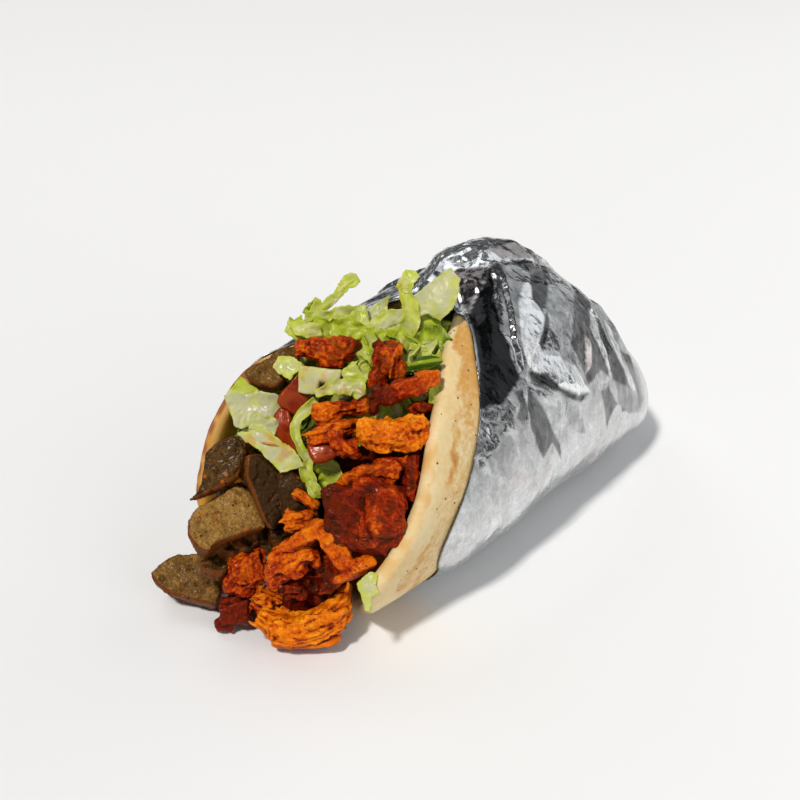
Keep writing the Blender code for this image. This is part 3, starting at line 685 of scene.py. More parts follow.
def makeChunk(name, spec, material):
    spec = {**chickenBase, **spec}
    draw = random.Random(name)
    axes, square = mouthAxes(spec["grain"]), mouthAxes()
    middle = middleOf(name)
    bm = bmesh.new()
    if spec["core"]:
        bm = takeNode(name)
        for vert in bm.verts:
            vert.co -= vert.normal * spec["core"] * mm
    for lobe in chunkLobes[name]:
        addLobe(bm, lobe, spec, middle, square, draw)
    dressChunk(bm, spec, axes, draw)
    mesh, co = skinOf(bm, name, spec["voxel"], 2)
    # Along the grain, across it, and out of the mouth
    local = bentGrain(seenFrom(co, middle, axes), spec["arc"])
    seed = draw.uniform(0, 50)
    warp = np.stack([noiseAt(local, 6.0, seed + k) for k in range(3)], 1) * np.array((1.5, 1.4, 1.4))
    strand = (local + warp) / np.array((7.0, 1.0, 1.0)) / spec["across"]
    seen = seenFrom(co, middle, square)
    burnt = np.zeros(len(co))
    if spec["burnt"]:
        reach = seen[:, 0] * spec["burnt"][0] + seen[:, 1] * spec["burnt"][1]
        burnt = smoothStep(reach / reach.max(), 0.15, 0.8)
    calm = 1 - spec["calm"] * (1 - burnt) * bool(spec["burnt"])
    fibre = np.abs(noiseAt(strand, 1.0, seed)) ** 0.8
    lumps = np.abs(noiseAt(local, 5.5, seed + 5)) * 1.4 - 0.35
    granules = np.abs(noiseAt(local, 1.5, seed + 9)) + 0.5 * noiseAt(local, 2.6, seed + 10)
    height = spec["fibre"] * (fibre - 0.45) + spec["lumps"] * lumps + spec["granules"] * (granules - 0.3)
    co = raised(mesh, co, calm * height)
    normals = normalsOf(mesh)
    hollow = ((relaxed(mesh, co, 16) - co) * normals).sum(1) / mm
    warmer, weight = np.zeros(len(co)), np.full(len(co), 1e-6)
    for lobe in chunkLobes[name]:
        centre, radii, roll = lobeAxes(lobe)
        offset = (seen - np.array(centre)) @ np.array(Matrix.Rotation(roll, 3, "Z"))
        near = np.exp(-3 * ((offset / np.array(radii)) ** 2).sum(1))
        warmer += near * lobe[6]
        weight += near
    facing = normals @ np.array(square)
    # Painted shade: undersides, faces turned away from the mouth and hollows are made darker and redder,
    # and bulges a little lighter
    under = smoothStep(-normals[:, 2], -0.2, 0.9) * 0.16 + smoothStep(-facing[:, 2], -0.45, 0.2) * 0.14
    warmth = spec["warmth"] + warmer / weight - under - 0.70 * np.clip(hollow, -0.20, 0.7) - 0.22 * burnt
    warmth += spec["spread"] * noiseAt(local, 4.5, seed + 13) * 1.6
    spots = noiseAt(local, 3.0, seed + 17) + 0.9 * spec["char"] - 0.35
    char = smoothStep(spots, 0.05, 0.45) * spec["char"] * 1.2
    # Hollows are darkened with the char colour: painted shade in the crevices, besides the real char spots,
    # burnt side and charred edges
    char += smoothStep(hollow, 0.08, 0.38) * 0.95
    char += smoothStep(-hollow, 0.25, 0.6) * smoothStep(noiseAt(local, 2.4, seed + 25), -0.1, 0.3) * 0.55
    char += burnt * smoothStep(noiseAt(local, 1.8, seed + 21), -0.1, 0.4) * 0.7
    setAttributes(mesh, warmth=np.clip(warmth, 0, 1), char=np.clip(char, 0, 1), strand=strand * 2.6)
    return addPiece(name.replace("chicken", "chunk"), mesh, material, "chicken", name)


slabBase = {"grow": 1.0, "voxel": 0.42, "deep": 9, "turn": 0, "tip": 0, "bevel": 1.3, "back": 0.86,
    "coarse": 0.8, "grain": 0.45, "pits": 0.6, "crustSide": (0.0, -1.0), "crust": 0.5, "sunned": 0.0,
    "scraps": ()}
# Each slice's lightness level is partly painted shade: slices lying in shade are made darker. Scraps are
# lumps set back behind a slice, darkened by the painted depth shade to fill gaps that lie in shade
donerSpecs = {
    "doner_slice_1": {"crustSide": (0.2, -1.0), "crust": 0.5, "deep": 8, "tip": -18, "sunned": -0.03},
    "doner_slice_2": {"crustSide": (0.25, -1.0), "crust": 0.9, "deep": 7, "turn": -6, "tip": -14,
        "bevel": 1.5, "sunned": -0.17, "scraps": ((4.7, -4.4, -9, 6.3, 3.6), (-0.3, -8.9, -9, 4.5, 3.1))},
    "doner_slice_3": {"crustSide": (-1.0, 0.2), "crust": 0.8, "deep": 12, "turn": 14, "sunned": -0.36,
        "scraps": ((0.5, -19.5, -8, 5.4, 4.3), (-4.5, -22.7, -9, 5, 3.9), (2.8, -14.5, -7, 3.6, 4.5),
                   (-4.7, 8.8, -6, 3.9, 3.0))},
    "doner_slice_4": {"crustSide": (0.0, -1.0), "crust": 0.5, "deep": 10, "sunned": -0.34,
        "scraps": ((-6.1, -15.4, -8, 4.5, 5.0), (-8.4, -20.0, -9, 3.9, 2.7))},
    "doner_slice_5": {"crustSide": (-0.6, -1.0), "crust": 1.0, "deep": 15, "tip": -18, "turn": 10,
        "sunned": 0.08,
        "scraps": ((2.7, -7.6, -8, 6.5, 3.8), (-1.8, -12.7, -9, 5.4, 4), (7.7, -4.9, -8, 4.1, 3.6))},
    "doner_slice_6": {"crustSide": (-0.6, -1.0), "crust": 0.9, "deep": 13, "tip": -22, "sunned": -0.02,
        "scraps": ((11.2, 1.2, -2, 3.3, 4.6),)},
}
# The outline of each slab as it is seen, from the middle of its node
slabOutlines = {
    "doner_slice_1": ((-9.8, 0.4), (-7.3, 2.7), (-3.8, 4.2), (0.2, 6.5), (4.1, 9.2), (8.3, 9.5), (9.8, 5.8),
        (6.9, 1.3), (4.7, -2.4), (0.9, -5.1), (-3.8, -4.4), (-7.3, -2.2)),
    "doner_slice_2": ((5.6, 13.3), (8, 10.8), (10.1, 8), (9.4, 3.6), (7.9, -1.3), (2.5, -5.1), (-4.1, -8.3),
        (-8.1, -9.9), (-8.4, -8.3), (-6.1, -6.8), (-4.4, -2.6), (-4.5, 1.8), (-4, 7.1), (0.3, 10.2)),
    "doner_slice_3": ((-5.6, 7.7), (-0.1, 7.8), (3, 4.6), (5.9, 1.9), (8.7, -5.1), (6.9, -12.2), (3.2, -17),
        (-0.1, -14.1), (-2.3, -8.6), (-3.8, -4.1), (-6.1, 1)),
    "doner_slice_4": ((-5.9, 6.1), (-0.6, 6.1), (4, 1.5), (3.4, -5.1), (-0.6, -9.6), (-4.3, -8.6),
        (-5.9, -1.6)),
    "doner_slice_5": ((-8.8, 4), (-4.8, 6.4), (4.1, 11.8), (7.8, 9.8), (10.6, 3.8), (13.5, -3.1),
        (6.7, -5.1), (-3, -8.2), (-5.7, -11.5), (-9.2, -9.7), (-12.1, -5.5), (-11.4, -0.2)),
    "doner_slice_6": ((-12.4, 0.9), (-8, 4.9), (-3.3, 7.6), (1.3, 7.5), (5.9, 7), (11.4, 3.5), (12.5, -3),
        (10.7, -10.5), (2.2, -8.7), (-5.2, -6.2), (-10.2, -3.2)),
    "tomato_1": ((1.8, 7.7), (2.3, 3.5), (5.1, -0.2), (3.2, -3.5), (0.2, -6.5), (-3.1, -4.8), (-5.4, -3),
        (-4.5, -0.4), (-1.6, 3.2)),
    "tomato_2": ((-1.2, 8.2), (1.9, 7), (2.6, 3.9), (3, -1.4), (5.6, -5.9), (3.5, -6.1), (-0.5, -2.3),
        (-3, 1.9), (-2.8, 5.6)),
    "tomato_3": ((-4.8, 3.9), (-0.8, 4.4), (3.5, 3.2), (6.1, 2.3), (5.4, 0.1), (1.8, -2), (-2, -2.2),
        (-4.1, 0.6)),
    "lettuce_rib": ((-4.9, 5.1), (0.1, 4.7), (5.4, 4), (9, 3.9), (8.5, 1.1), (6.4, -1.2), (1.4, 0.4),
        (1, -2.4), (0.1, -4.3), (-3.4, -4.2), (-5.8, -3.6), (-5.5, 1.1)),
}


def slabMesh(name, spec):
    # A slab with rounded edges and an uneven face, and how its vertices lie in its own directions
    bm = bmesh.new()
    outline = slabOutlines[name]
    made = bmesh.ops.create_circle(bm, cap_ends=True, segments=len(outline), radius=1)
    middle = middleOf(name)
    slant = mouthAxes(0, spec["turn"], spec["tip"])
    for vert, (x, y) in zip(made["verts"], outline):
        vert.co = Vector((x * spec["grow"], y * spec["grow"], spec["deep"] * 0.5))
    bm.normal_update()
    back = bmesh.ops.extrude_face_region(bm, geom=bm.faces[:])["geom"]
    for vert in back:
        if isinstance(vert, bmesh.types.BMVert):
            vert.co = Vector((vert.co.x * spec["back"], vert.co.y * spec["back"], -spec["deep"] * 0.5))
    bmesh.ops.recalc_face_normals(bm, faces=bm.faces)
    bmesh.ops.bevel(bm, geom=bm.edges[:], offset=spec["bevel"], offset_type="OFFSET", segments=2,
                    affect="EDGES", profile=0.5, material=-1)
    for x, y, z, wide, high in spec["scraps"]:
        made = bmesh.ops.create_icosphere(bm, subdivisions=3, radius=1)
        for vert in made["verts"]:
            swell = 1 + 0.3 * noise.noise(vert.co * 1.8 + Vector((x, y, z)))
            vert.co = Vector((x + vert.co.x * wide * swell, y + vert.co.y * high * swell,
                              z + vert.co.z * 0.5 * (wide + high) * swell))
    for vert in bm.verts:
        vert.co = middle + slant @ vert.co * mm
    mesh, co = skinOf(bm, name, spec["voxel"], 2)
    facing = normalsOf(mesh) @ np.array(slant)
    seed = random.Random(name).uniform(0, 50)
    local = seenFrom(co, middle, slant)
    grains = np.abs(noiseAt(local, 1.6, seed + 3)) + 0.5 * noiseAt(local, 3.0, seed + 4)
    height = spec["coarse"] * noiseAt(local, 7.0, seed) + spec["grain"] * (grains - 0.3)
    height -= spec["pits"] * smoothStep(noiseAt(local, 2.2, seed + 7), 0.25, 0.6)
    co = raised(mesh, co, height)
    hollow = ((relaxed(mesh, co, 12) - co) * normalsOf(mesh)).sum(1) / mm
    return mesh, local, facing, hollow


def makeSlice(name, spec, material):
    spec = {**slabBase, **spec}
    mesh, local, facing, hollow = slabMesh(name, spec)
    side = facing[:, 0] * spec["crustSide"][0] + facing[:, 1] * spec["crustSide"][1]
    edge = 1 - smoothStep(facing[:, 2], 0.3, 0.85)
    crust = np.maximum(edge * 0.7, smoothStep(side, 0.1, 0.6)) * (0.6 + spec["crust"])
    # Painted shade: the slab darkens with depth behind its face, and its hollows are darkened
    deeper = smoothStep(0.5 * spec["deep"] - local[:, 2], 2.5, 9)
    setAttributes(mesh, crust=np.clip(crust, 0, 1), hollow=smoothStep(hollow, 0.10, 0.5),
                  sunned=spec["sunned"] + 0.07 * noiseAt(local, 6.0, 2) - 0.3 * deeper)
    return addPiece(name.replace("doner", "cut"), mesh, material, "doner", name)


def makeFilling(name, material, slot, piece):
    # The stretch of meat behind the mouth, heaped like what shows, coloured dark and charred all over as
    # painted shade deep in the wrap
    mesh, co = skinOf(takeNode(name), name, 1.0, 2)
    local = co / mm
    strand = local / np.array((2.0, 9.0, 2.0))
    raised(mesh, co, np.abs(noiseAt(strand, 1.0, 3)) * 1.5 + np.abs(noiseAt(local, 8, 5)) * 2.0 - 2.2)
    patch = noiseAt(local, 6.0, 11)
    levels = {"warmth": 0.15 + 0.2 * patch, "char": 0.7 + 0.5 * patch, "crust": 0.6 + 0.6 * patch,
              "hollow": 0.7 - patch}
    levels = {key: np.clip(level, 0, 1) for key, level in levels.items()}
    setAttributes(mesh, **levels, strand=strand * 2, sunned=patch * 0.1 - 0.15)
    addPiece(piece, mesh, material, slot, name)


chickenMaterial = makeChickenMaterial()
donerMaterial = makeDonerMaterial()
for name, spec in chickenSpecs.items():
    makeChunk(name, spec, chickenMaterial)
makeFilling("chicken_fill", chickenMaterial, "chicken", "chicken_behind")
print("chicken is made")
for name, spec in donerSpecs.items():
    makeSlice(name, spec, donerMaterial)
makeFilling("doner_fill", donerMaterial, "doner", "doner_behind")
print("doner is made")

axisHeight = 47      # height of the line that angles are measured round, in millimetres


def degreesRound(co):
    # 0 is the underside, 90 the +X side, 180 the top and -90 the -X side
    return np.degrees(np.arctan2(co[:, 0], axisHeight * mm - co[:, 2]))


def frontEdge(name, stations=72):
    # How far forward a node reaches at each angle, as a function of the angle in degrees
    co = coordsOf(nodes[name].data)
    degrees = degreesRound(co)
    middles = np.linspace(-180, 180, stations + 1)
    reach = []
    for middle in middles:
        off = np.abs((degrees - middle + 180) % 360 - 180)
        reach.append(co[off < 6, 1].min())
    reach[-1] = reach[0]
    return lambda angles: np.interp((np.asarray(angles) + 180) % 360 - 180, middles, reach)


def smoothShell(name, levels):
    # A node's mesh as quads, rounded off
    bm = takeNode(name)
    bmesh.ops.join_triangles(bm, faces=bm.faces, angle_face_threshold=1.2, angle_shape_threshold=1.2)
    return evaluated(meshFrom(bm, name), type="SUBSURF", levels=levels, render_levels=levels)


pitaSpec = {"levels": 3, "swell": 0.55, "blister": 0.16, "clear": 0.9}
pitaLook = {"cream": (0.76, 0.62, 0.36), "shade": (0.70, 0.49, 0.20), "toast": (0.60, 0.31, 0.065),
            "burnt": (0.44, 0.17, 0.025), "oiled": (0.60, 0.27, 0.014), "speck": (0.10, 0.035, 0.01),
            "rust": (0.30, 0.075, 0.012)}


def makePitaMaterial():
    material, tree, shader = newMaterial("griddled_pita")
    place = objectPlace(tree)
    broad = cloud(tree, place, 90.0, 3.0)
    fine = cloud(tree, place, 620.0, 4.0, 0.6)
    tone = maths(tree, "ADD", ranged(tree, broad, 0.35, 0.65, 0.0, 0.5),
                 ranged(tree, fine, 0.3, 0.7, 0.0, 0.45))
    color = mixed(tree, tone, pitaLook["cream"], pitaLook["shade"])
    streaks = maths(tree, "ADD", attribute(tree, "toast"), ranged(tree, fine, 0.3, 0.7, -0.16, 0.16))
    color = mixed(tree, ranged(tree, streaks, 0.2, 0.85), color, pitaLook["toast"])
    color = mixed(tree, ranged(tree, streaks, 0.8, 1.25), color, pitaLook["burnt"])
    for stain in ("oiled", "rust"):
        color = mixed(tree, attribute(tree, stain), color, pitaLook[stain])
    specks = maths(tree, "MULTIPLY", specksAt(tree, place, 330.0, 0.13, 0.42), attribute(tree, "outside"))
    fill(tree, shader, {
        "Base Color": mixed(tree, specks, color, pitaLook["speck"]),
        "Roughness": ranged(tree, streaks, 0.0, 1.0, 0.62, 0.45), "Subsurface Weight": 0.15,
        "Subsurface Radius": (1.0, 0.6, 0.3), "Subsurface Scale": 0.0015})
    first = bumped(tree, shader, grainsAt(tree, place, 800.0), 0.35, 0.2)
    bumped(tree, shader, broad, 0.4, 1.2, first)
    return material


def makePita():
    mesh = smoothShell("pita", pitaSpec["levels"])
    mesh.shade_smooth()
    co = coordsOf(mesh)
    normals = normalsOf(mesh)
    place = co / mm
    height = pitaSpec["swell"] * noiseAt(place, 15, 2) + pitaSpec["blister"] * noiseAt(place, 3.2, 4)
    inside = smoothStep(-(normals[:, 0] * place[:, 0] + normals[:, 2] * (place[:, 2] - axisHeight)), -8, 8)
    co = co + normals * (height * (1 - 0.5 * inside))[:, None] * mm
    co[:, 2] = np.maximum(co[:, 2], cadBox[0].z + pitaSpec["clear"] * mm)
    setCoords(mesh, co)
    degrees = degreesRound(co)
    across = (co[:, 1] - frontEdge("pita")(degrees)) / mm
    width = np.maximum((frontEdge("foil")(degrees) - frontEdge("pita")(degrees)) / mm, 6)
    share = across / width                     # 0 at the front edge, 1 where the foil starts
    rim = smoothStep(-normals[:, 1], 0.25, 0.8)
    turned = np.stack((np.cos(np.radians(degrees)), np.sin(np.radians(degrees)), across * 0), 1)
    streak = noiseAt(turned * 2.0 + np.stack((across * 0, across * 0, across * 0.30), 1), 1.0, 6)
    streak += 0.5 * noiseAt(turned * 5 + np.stack((across * 0, across * 0, across * 0.7), 1), 1.0, 9)
    high = smoothStep(degrees, 112, 140)
    low = smoothStep(-degrees, -72, -50)
    band = smoothStep(share + 0.12 * streak, 0.40, 0.75) * (0.40 * high + 0.25)
    band *= 1 - 0.8 * smoothStep(degrees, 152, 164)
    marks = smoothStep(share, 0.30, 0.45) * (1 - smoothStep(share, 0.72, 0.95))
    marks *= np.clip(streak + 0.1, 0, 1)
    toast = band + 0.95 * marks * (1 - 0.5 * high) + 0.12 * smoothStep(share, 0.1, 0.5) + 0.25 * low * band
    edge = smoothStep(inside, 0.15, 0.5) * (1 - smoothStep(inside, 0.6, 0.95)) * smoothStep(across, -1, 3)
    left = smoothStep(-place[:, 0], 8, 22) * smoothStep(place[:, 2], 24, 34)
    oiled = inside * (0.35 + 0.6 * left) * smoothStep(across, 1.5, 5)
    soaked = left * (0.85 + 0.4 * noiseAt(place, 8, 3)) * (1 - smoothStep(across, 5, 11) * (1 - inside))
    oiled = np.maximum(oiled, soaked)
    lick = (1 - smoothStep(np.abs(share - 0.05), 0.03, 0.10)) * smoothStep(degrees, 60, 75) * (1 - high)
    oiled = np.maximum(oiled, 0.5 * lick * (0.6 + noiseAt(place, 5, 3)))
    rust = left * smoothStep(across + 0.8 * noiseAt(place, 4, 8), -0.2, 1.2) * (1 - inside) * 0.9
    rust *= 1 - smoothStep(across + 2 * noiseAt(place, 6, 5), 4, 9)
    toast = np.clip(toast * (1 - inside) * (1 - 0.8 * rim) + 0.5 * edge, 0, 1.2)
    setAttributes(mesh, toast=toast, oiled=np.clip(oiled, 0, 1), rust=np.clip(rust, 0, 1),
                  outside=(1 - inside) * (0.25 + 0.75 * (1 - rim)))
    return addPiece("bread", mesh, makePitaMaterial(), "pita", "pita")


makePita()
print("pita is made")

foilSpec = {"around": 360, "along": 200, "endRows": 14, "wall": 0.35, "hemRows": 9, "big": 0.75,
    "fold": 0.42, "small": 0.1, "innerRows": 13, "tuck": 2.6, "hem": 2.0, "tongue": 3, "hug": 9, "gap": 0.9,
    "stretch": 2.1, "middle": (0, 89.4, 17)}
# Folds of the foil, as points (degrees round, y). The foil is raised by height along them, and falls away
# steeply on one side and over the width on the other
foilFolds = (
    {"route": ((167, 15), (154, 6), (140, -3), (128, -5), (116, 5), (98, 28)), "height": 1.5, "width": 11},
    {"route": ((150, 42), (112, 48), (81, 59)), "height": 1.3, "width": 8},
    {"route": ((146, 55), (110, 63), (79, 73)), "height": 1.3, "width": 8},
    {"route": ((118, 14), (100, 17), (84, 24)), "height": 1.0, "width": 5},
    {"route": ((176, 7), (168, 16), (163, 36), (160, 60)), "height": -1.6, "width": 6},
    {"route": ((-160, 20), (-125, 12), (-90, 20)), "height": 1.8, "width": 10},
    {"route": ((-158, 42), (-120, 40), (-80, 50)), "height": 1.6, "width": 9},
    {"route": ((-150, 62), (-110, 62), (-75, 74)), "height": 0.7, "width": 8},
)
# Panels between the folds, painted lighter or darker and rosier as painted reflections: how bright, how
# rosy, how far raised, and the outline (degrees round, y)
foilPanels = (
    (0.02, 0, -0.3, ((168, 11), (162, 7), (154, 0), (146, -5), (140, -5), (136, -7), (131, -7), (126, -7),
        (124, -12), (121, -19), (123, -24), (124, -29), (133, -24), (142, -19), (152, -13), (159, -8),
        (162, -3), (165, 5))),
    (0.22, 1, 0, ((178, 4), (169, 10), (166, 7), (163, -1), (159, -8), (164, -5), (172, 0))),
    (0.4, 0.8, 0, ((174, 16), (177, 36), (167, 42), (163, 43), (166, 30), (169, 19))),
    (0.33, 0, 0.2, ((168, 11), (165, 21), (158, 21), (154, 12), (148, 5), (138, -1), (128, -2), (128, -6),
        (137, -6), (146, -5), (155, 1), (163, 8))),
    (1.0, 0, 0.5, ((157, 18), (156, 19), (142, 15), (139, 14), (134, 8), (129, 8), (125, 14), (118, 21),
        (108, 24), (103, 27), (107, 18), (115, 9), (123, 4), (127, -2), (134, -3), (143, 1), (151, 8))),
    (0.06, 0, -0.4, ((127, -2), (122, 4), (114, 9), (106, 18), (102, 27), (100, 23), (108, 11), (116, 4),
        (122, -2), (127, -4))),
    (0.1, 0, -0.4, ((159, 24), (158, 34), (146, 21), (143, 15), (149, 15), (155, 19))),
    (0.1, 0, -0.3, ((142, 15), (143, 19), (134, 12), (130, 8), (134, 8))),
    (0.42, 0, 0.4, ((156, 33), (149, 32), (143, 32), (133, 25), (134, 20), (144, 23))),
    (0.13, 0.1, 0, ((152, 47), (138, 52), (111, 58), (76, 81), (68, 82), (61, 76), (73, 56), (96, 48),
        (108, 37), (106, 27), (115, 25), (127, 23), (135, 29))),
    (0.75, 0, 0.4, ((137, 45), (134, 46), (121, 44), (108, 44), (95, 47), (103, 43), (116, 40), (128, 38))),
    (0.65, 0, 0.3, ((130, 53), (124, 56), (105, 57), (87, 65), (70, 70), (87, 59), (109, 50))),
    (0.75, 1, 0.3, ((127, 33), (122, 35), (113, 31), (112, 26), (120, 29))),
    (0.5, 0, 0.5, ((122, -5), (117, 2), (112, 9), (105, 16), (89, 25), (80, 28), (84, 22), (99, 11),
        (108, 4), (115, -3))),
    (0.14, 0, -0.3, ((123, -12), (122, -8), (114, -8), (109, -9), (110, -13), (113, -15), (117, -11))),
    (0.15, 0, -0.4, ((121, -5), (110, 0), (97, 4), (85, 11), (76, 13), (91, 4), (87, -2), (95, -5),
        (105, -8), (114, -8))),
    (0.22, 0, -0.3, ((97, 37), (95, 44), (81, 51), (77, 47), (71, 45), (84, 41))),
    (0.35, 0, 0, ((96, 48), (74, 70), (59, 83), (54, 83), (68, 62), (80, 52))),
    (0.16, 0.3, 0, ((167, 23), (162, 37), (154, 34), (158, 34), (159, 24), (164, 23))),
)
arcStep = 0.78     # millimetres round the wrap for each degree
# Sizes of facets: whether the layer is warped, its step, stretch and slant, and its seed
facetSizes = ((1, 9.5, 2.0, -19, 1), (1, 4.6, 2.0, -14, 2), (0, 2.3, 1.2, 10, 3), (0, 1.5, 1.0, 30, 4))


def foldHeight(degrees, y, fold):
    # The height of one fold, from the signed distance to its route
    route = [Vector((angle * arcStep, along)) for angle, along in fold["route"]]
    place = np.stack((degrees * arcStep, y), 1)
    best = np.full(len(place), 1e9)
    side = np.zeros(len(place))
    run = np.zeros(len(place))
    length = sum((b - a).length for a, b in zip(route, route[1:]))
    done = 0.0
    for start, end in zip(route, route[1:]):
        step = np.array(end - start)
        size = np.hypot(*step)
        t = np.clip(((place - np.array(start)) @ step) / size ** 2, 0, 1)
        off = place - np.array(start) - t[:, None] * step
        reach = np.hypot(off[:, 0], off[:, 1])
        turn = off[:, 1] + 0.5 * off[:, 0] * np.sign(place[:, 0])
        closer = reach < best
        best = np.where(closer, reach, best)
        side = np.where(closer, np.sign(turn), side)
        run = np.where(closer, (done + t * size) / length, run)
        done += size
    taper = smoothStep(run, 0, 0.2) * (1 - smoothStep(run, 0.75, 1))
    gentle = np.clip(1 - best / fold["width"], 0, 1)
    steep = np.clip(1 - best / 1.2, 0, 1)
    return fold["height"] * taper * np.where(side > 0, gentle, steep)


def panelMask(degrees, y, outline, soft):
    # 1 inside an outline, falling to 0 over soft millimetres across it
    corners = np.array(outline, float) * np.array((arcStep, 1))
    reach = outlineReach(np.stack(((degrees % 360) * arcStep, y), 1), corners)[0]
    return 1 - smoothStep(reach, -soft / 2, soft / 2)


def facetField(step, stretch, slant, seed):
    # Flat facets over the unrolled wrapper, as heights from -1 to 1 at places in millimetres
    bm = bmesh.new()
    half, stray = 190, 0.42
    many = int(2 * half / step / stretch), int(2 * half / step)
    bmesh.ops.create_grid(bm, x_segments=many[0], y_segments=many[1], size=half)
    draw = random.Random(seed)
    for vert in bm.verts:
        vert.co += Vector((draw.uniform(-stray, stray) * step * stretch, draw.uniform(-stray, stray) * step,
                           draw.uniform(-1, 1)))
    turn = Matrix.Rotation(math.radians(slant), 3, "Z")
    bmesh.ops.rotate(bm, verts=bm.verts, cent=(0, 0, 0), matrix=turn)
    bmesh.ops.triangulate(bm, faces=bm.faces[:])
    tree = BVHTree.FromBMesh(bm)
    bm.free()
    down = Vector((0, 0, -1))
    return lambda places: np.array([tree.ray_cast(Vector((x, y, 5)), down)[0].z for x, y in places])


def aroundSeam(field, degrees, y):
    # The facets run on over the top, where the unrolled wrapper's two ends meet
    here = field(zip(degrees * arcStep, y))
    fade = smoothStep(np.abs(degrees), 162, 180) * 0.5
    beyond = degrees - 360 * np.sign(degrees) * (np.abs(degrees) > 161)
    return here * (1 - fade) + field(zip(beyond * arcStep, y)) * fade


def crumpled(degrees, y, place):
    # How far the foil stands out from a smooth wrapper, in millimetres, and how bright and rosy it is
    # painted, as painted reflections of its surroundings
    fall = 180 - np.abs(degrees)                       # degrees down from the top
    low = smoothStep(fall, 72, 105)
    top = 1 - smoothStep(fall, 12, 24)
    flat = smoothStep(np.abs(degrees), 8, 30)
    warp = noiseAt(place, 14, 1) * 2.5
    opened = 1 - smoothStep(y, 66, 84)                  # the closed end is crumpled without folds or panels
    closed = 1 - opened
    layers = [aroundSeam(facetField(*facets), degrees, y + warp * warped) * opened
              for warped, *facets in facetSizes]
    big, middle, small = (layer + closed * noiseAt(place, size, 41 + k)
                          for k, (layer, size) in enumerate(zip(layers, (11, 5, 2.5))))
    tiny = layers[3]
    jitter = 0.8 * noiseAt(place, 3.0, 21)
    calm = panelMask(degrees, y, foilPanels[0][3], 4)
    quiet = 1 - 0.8 * calm
    height = foilSpec["big"] * big * quiet * (1 - 0.6 * low)
    height += foilSpec["fold"] * middle * quiet * (1 - 0.65 * low) * (1 + 0.5 * top)
    height += foilSpec["small"] * small * (1 + 4.0 * top) * quiet * (1 - 0.5 * low)
    height += 0.30 * top * tiny + 1.0 * top * noiseAt(place, 7, 9)
    for fold in foilFolds:
        height += foldHeight(degrees, y, fold) * opened
    # Painted reflection: the lower part is painted brighter and the top brighter still, with darker streaks
    # above. Streaks lean back as they go down, and are broken by the facets
    lean = leaning(place)
    streak = noiseAt(lean, 4.0, 31) + 0.6 * noiseAt(lean, 1.8, 32)
    tone = 0.52 + 0.20 * low + 0.09 * streak + 0.06 * middle + 0.04 * small
    tone = tone - 0.20 * (1 - low) * (1 - top) * smoothStep(streak + 0.5 * middle, -0.1, 0.5)
    tone = np.where(top > 0.3, 0.85 + 0.6 * small + 0.5 * tiny, tone)
    # A rosy tint, stronger lower down: painted reflection
    rose = np.clip(0.55 * noiseAt(place, 9, 14) + 0.25 * streak, 0, 1) * (0.4 + 1.1 * low)
    # Each panel is painted to its own brightness and rose tint: painted reflection
    for bright, rosy, lift, outline in foilPanels:
        mask = panelMask(degrees, y + 0.6 * jitter, outline, 0.8) * opened
        level = bright * (1 + 0.35 * streak + 0.25 * middle)
        tone = tone + (level - tone) * mask
        rose = rose + (rosy - rose) * mask
        height += lift * panelMask(degrees, y, outline, 3.0) * opened
    crisp = (1 - 0.6 * low - 0.35 * calm - 0.25 * top) * (1 - 0.4 * closed)
    return height * flat, np.clip(tone, 0.02, 1), np.clip(rose, 0, 1), crisp


def treeOf(mesh):
    return BVHTree.FromPolygons([v.co for v in mesh.vertices], [list(p.vertices) for p in mesh.polygons])


def foilStart(tree, spoke):
    # Where the foil begins along one spoke
    bare, covered = -75 * mm, 20 * mm
    for _ in range(12):
        y = (bare + covered) / 2
        if tree.ray_cast(Vector((0, y, axisHeight * mm)), spoke)[0] is None:
            bare = y
        else:
            covered = y
    return covered


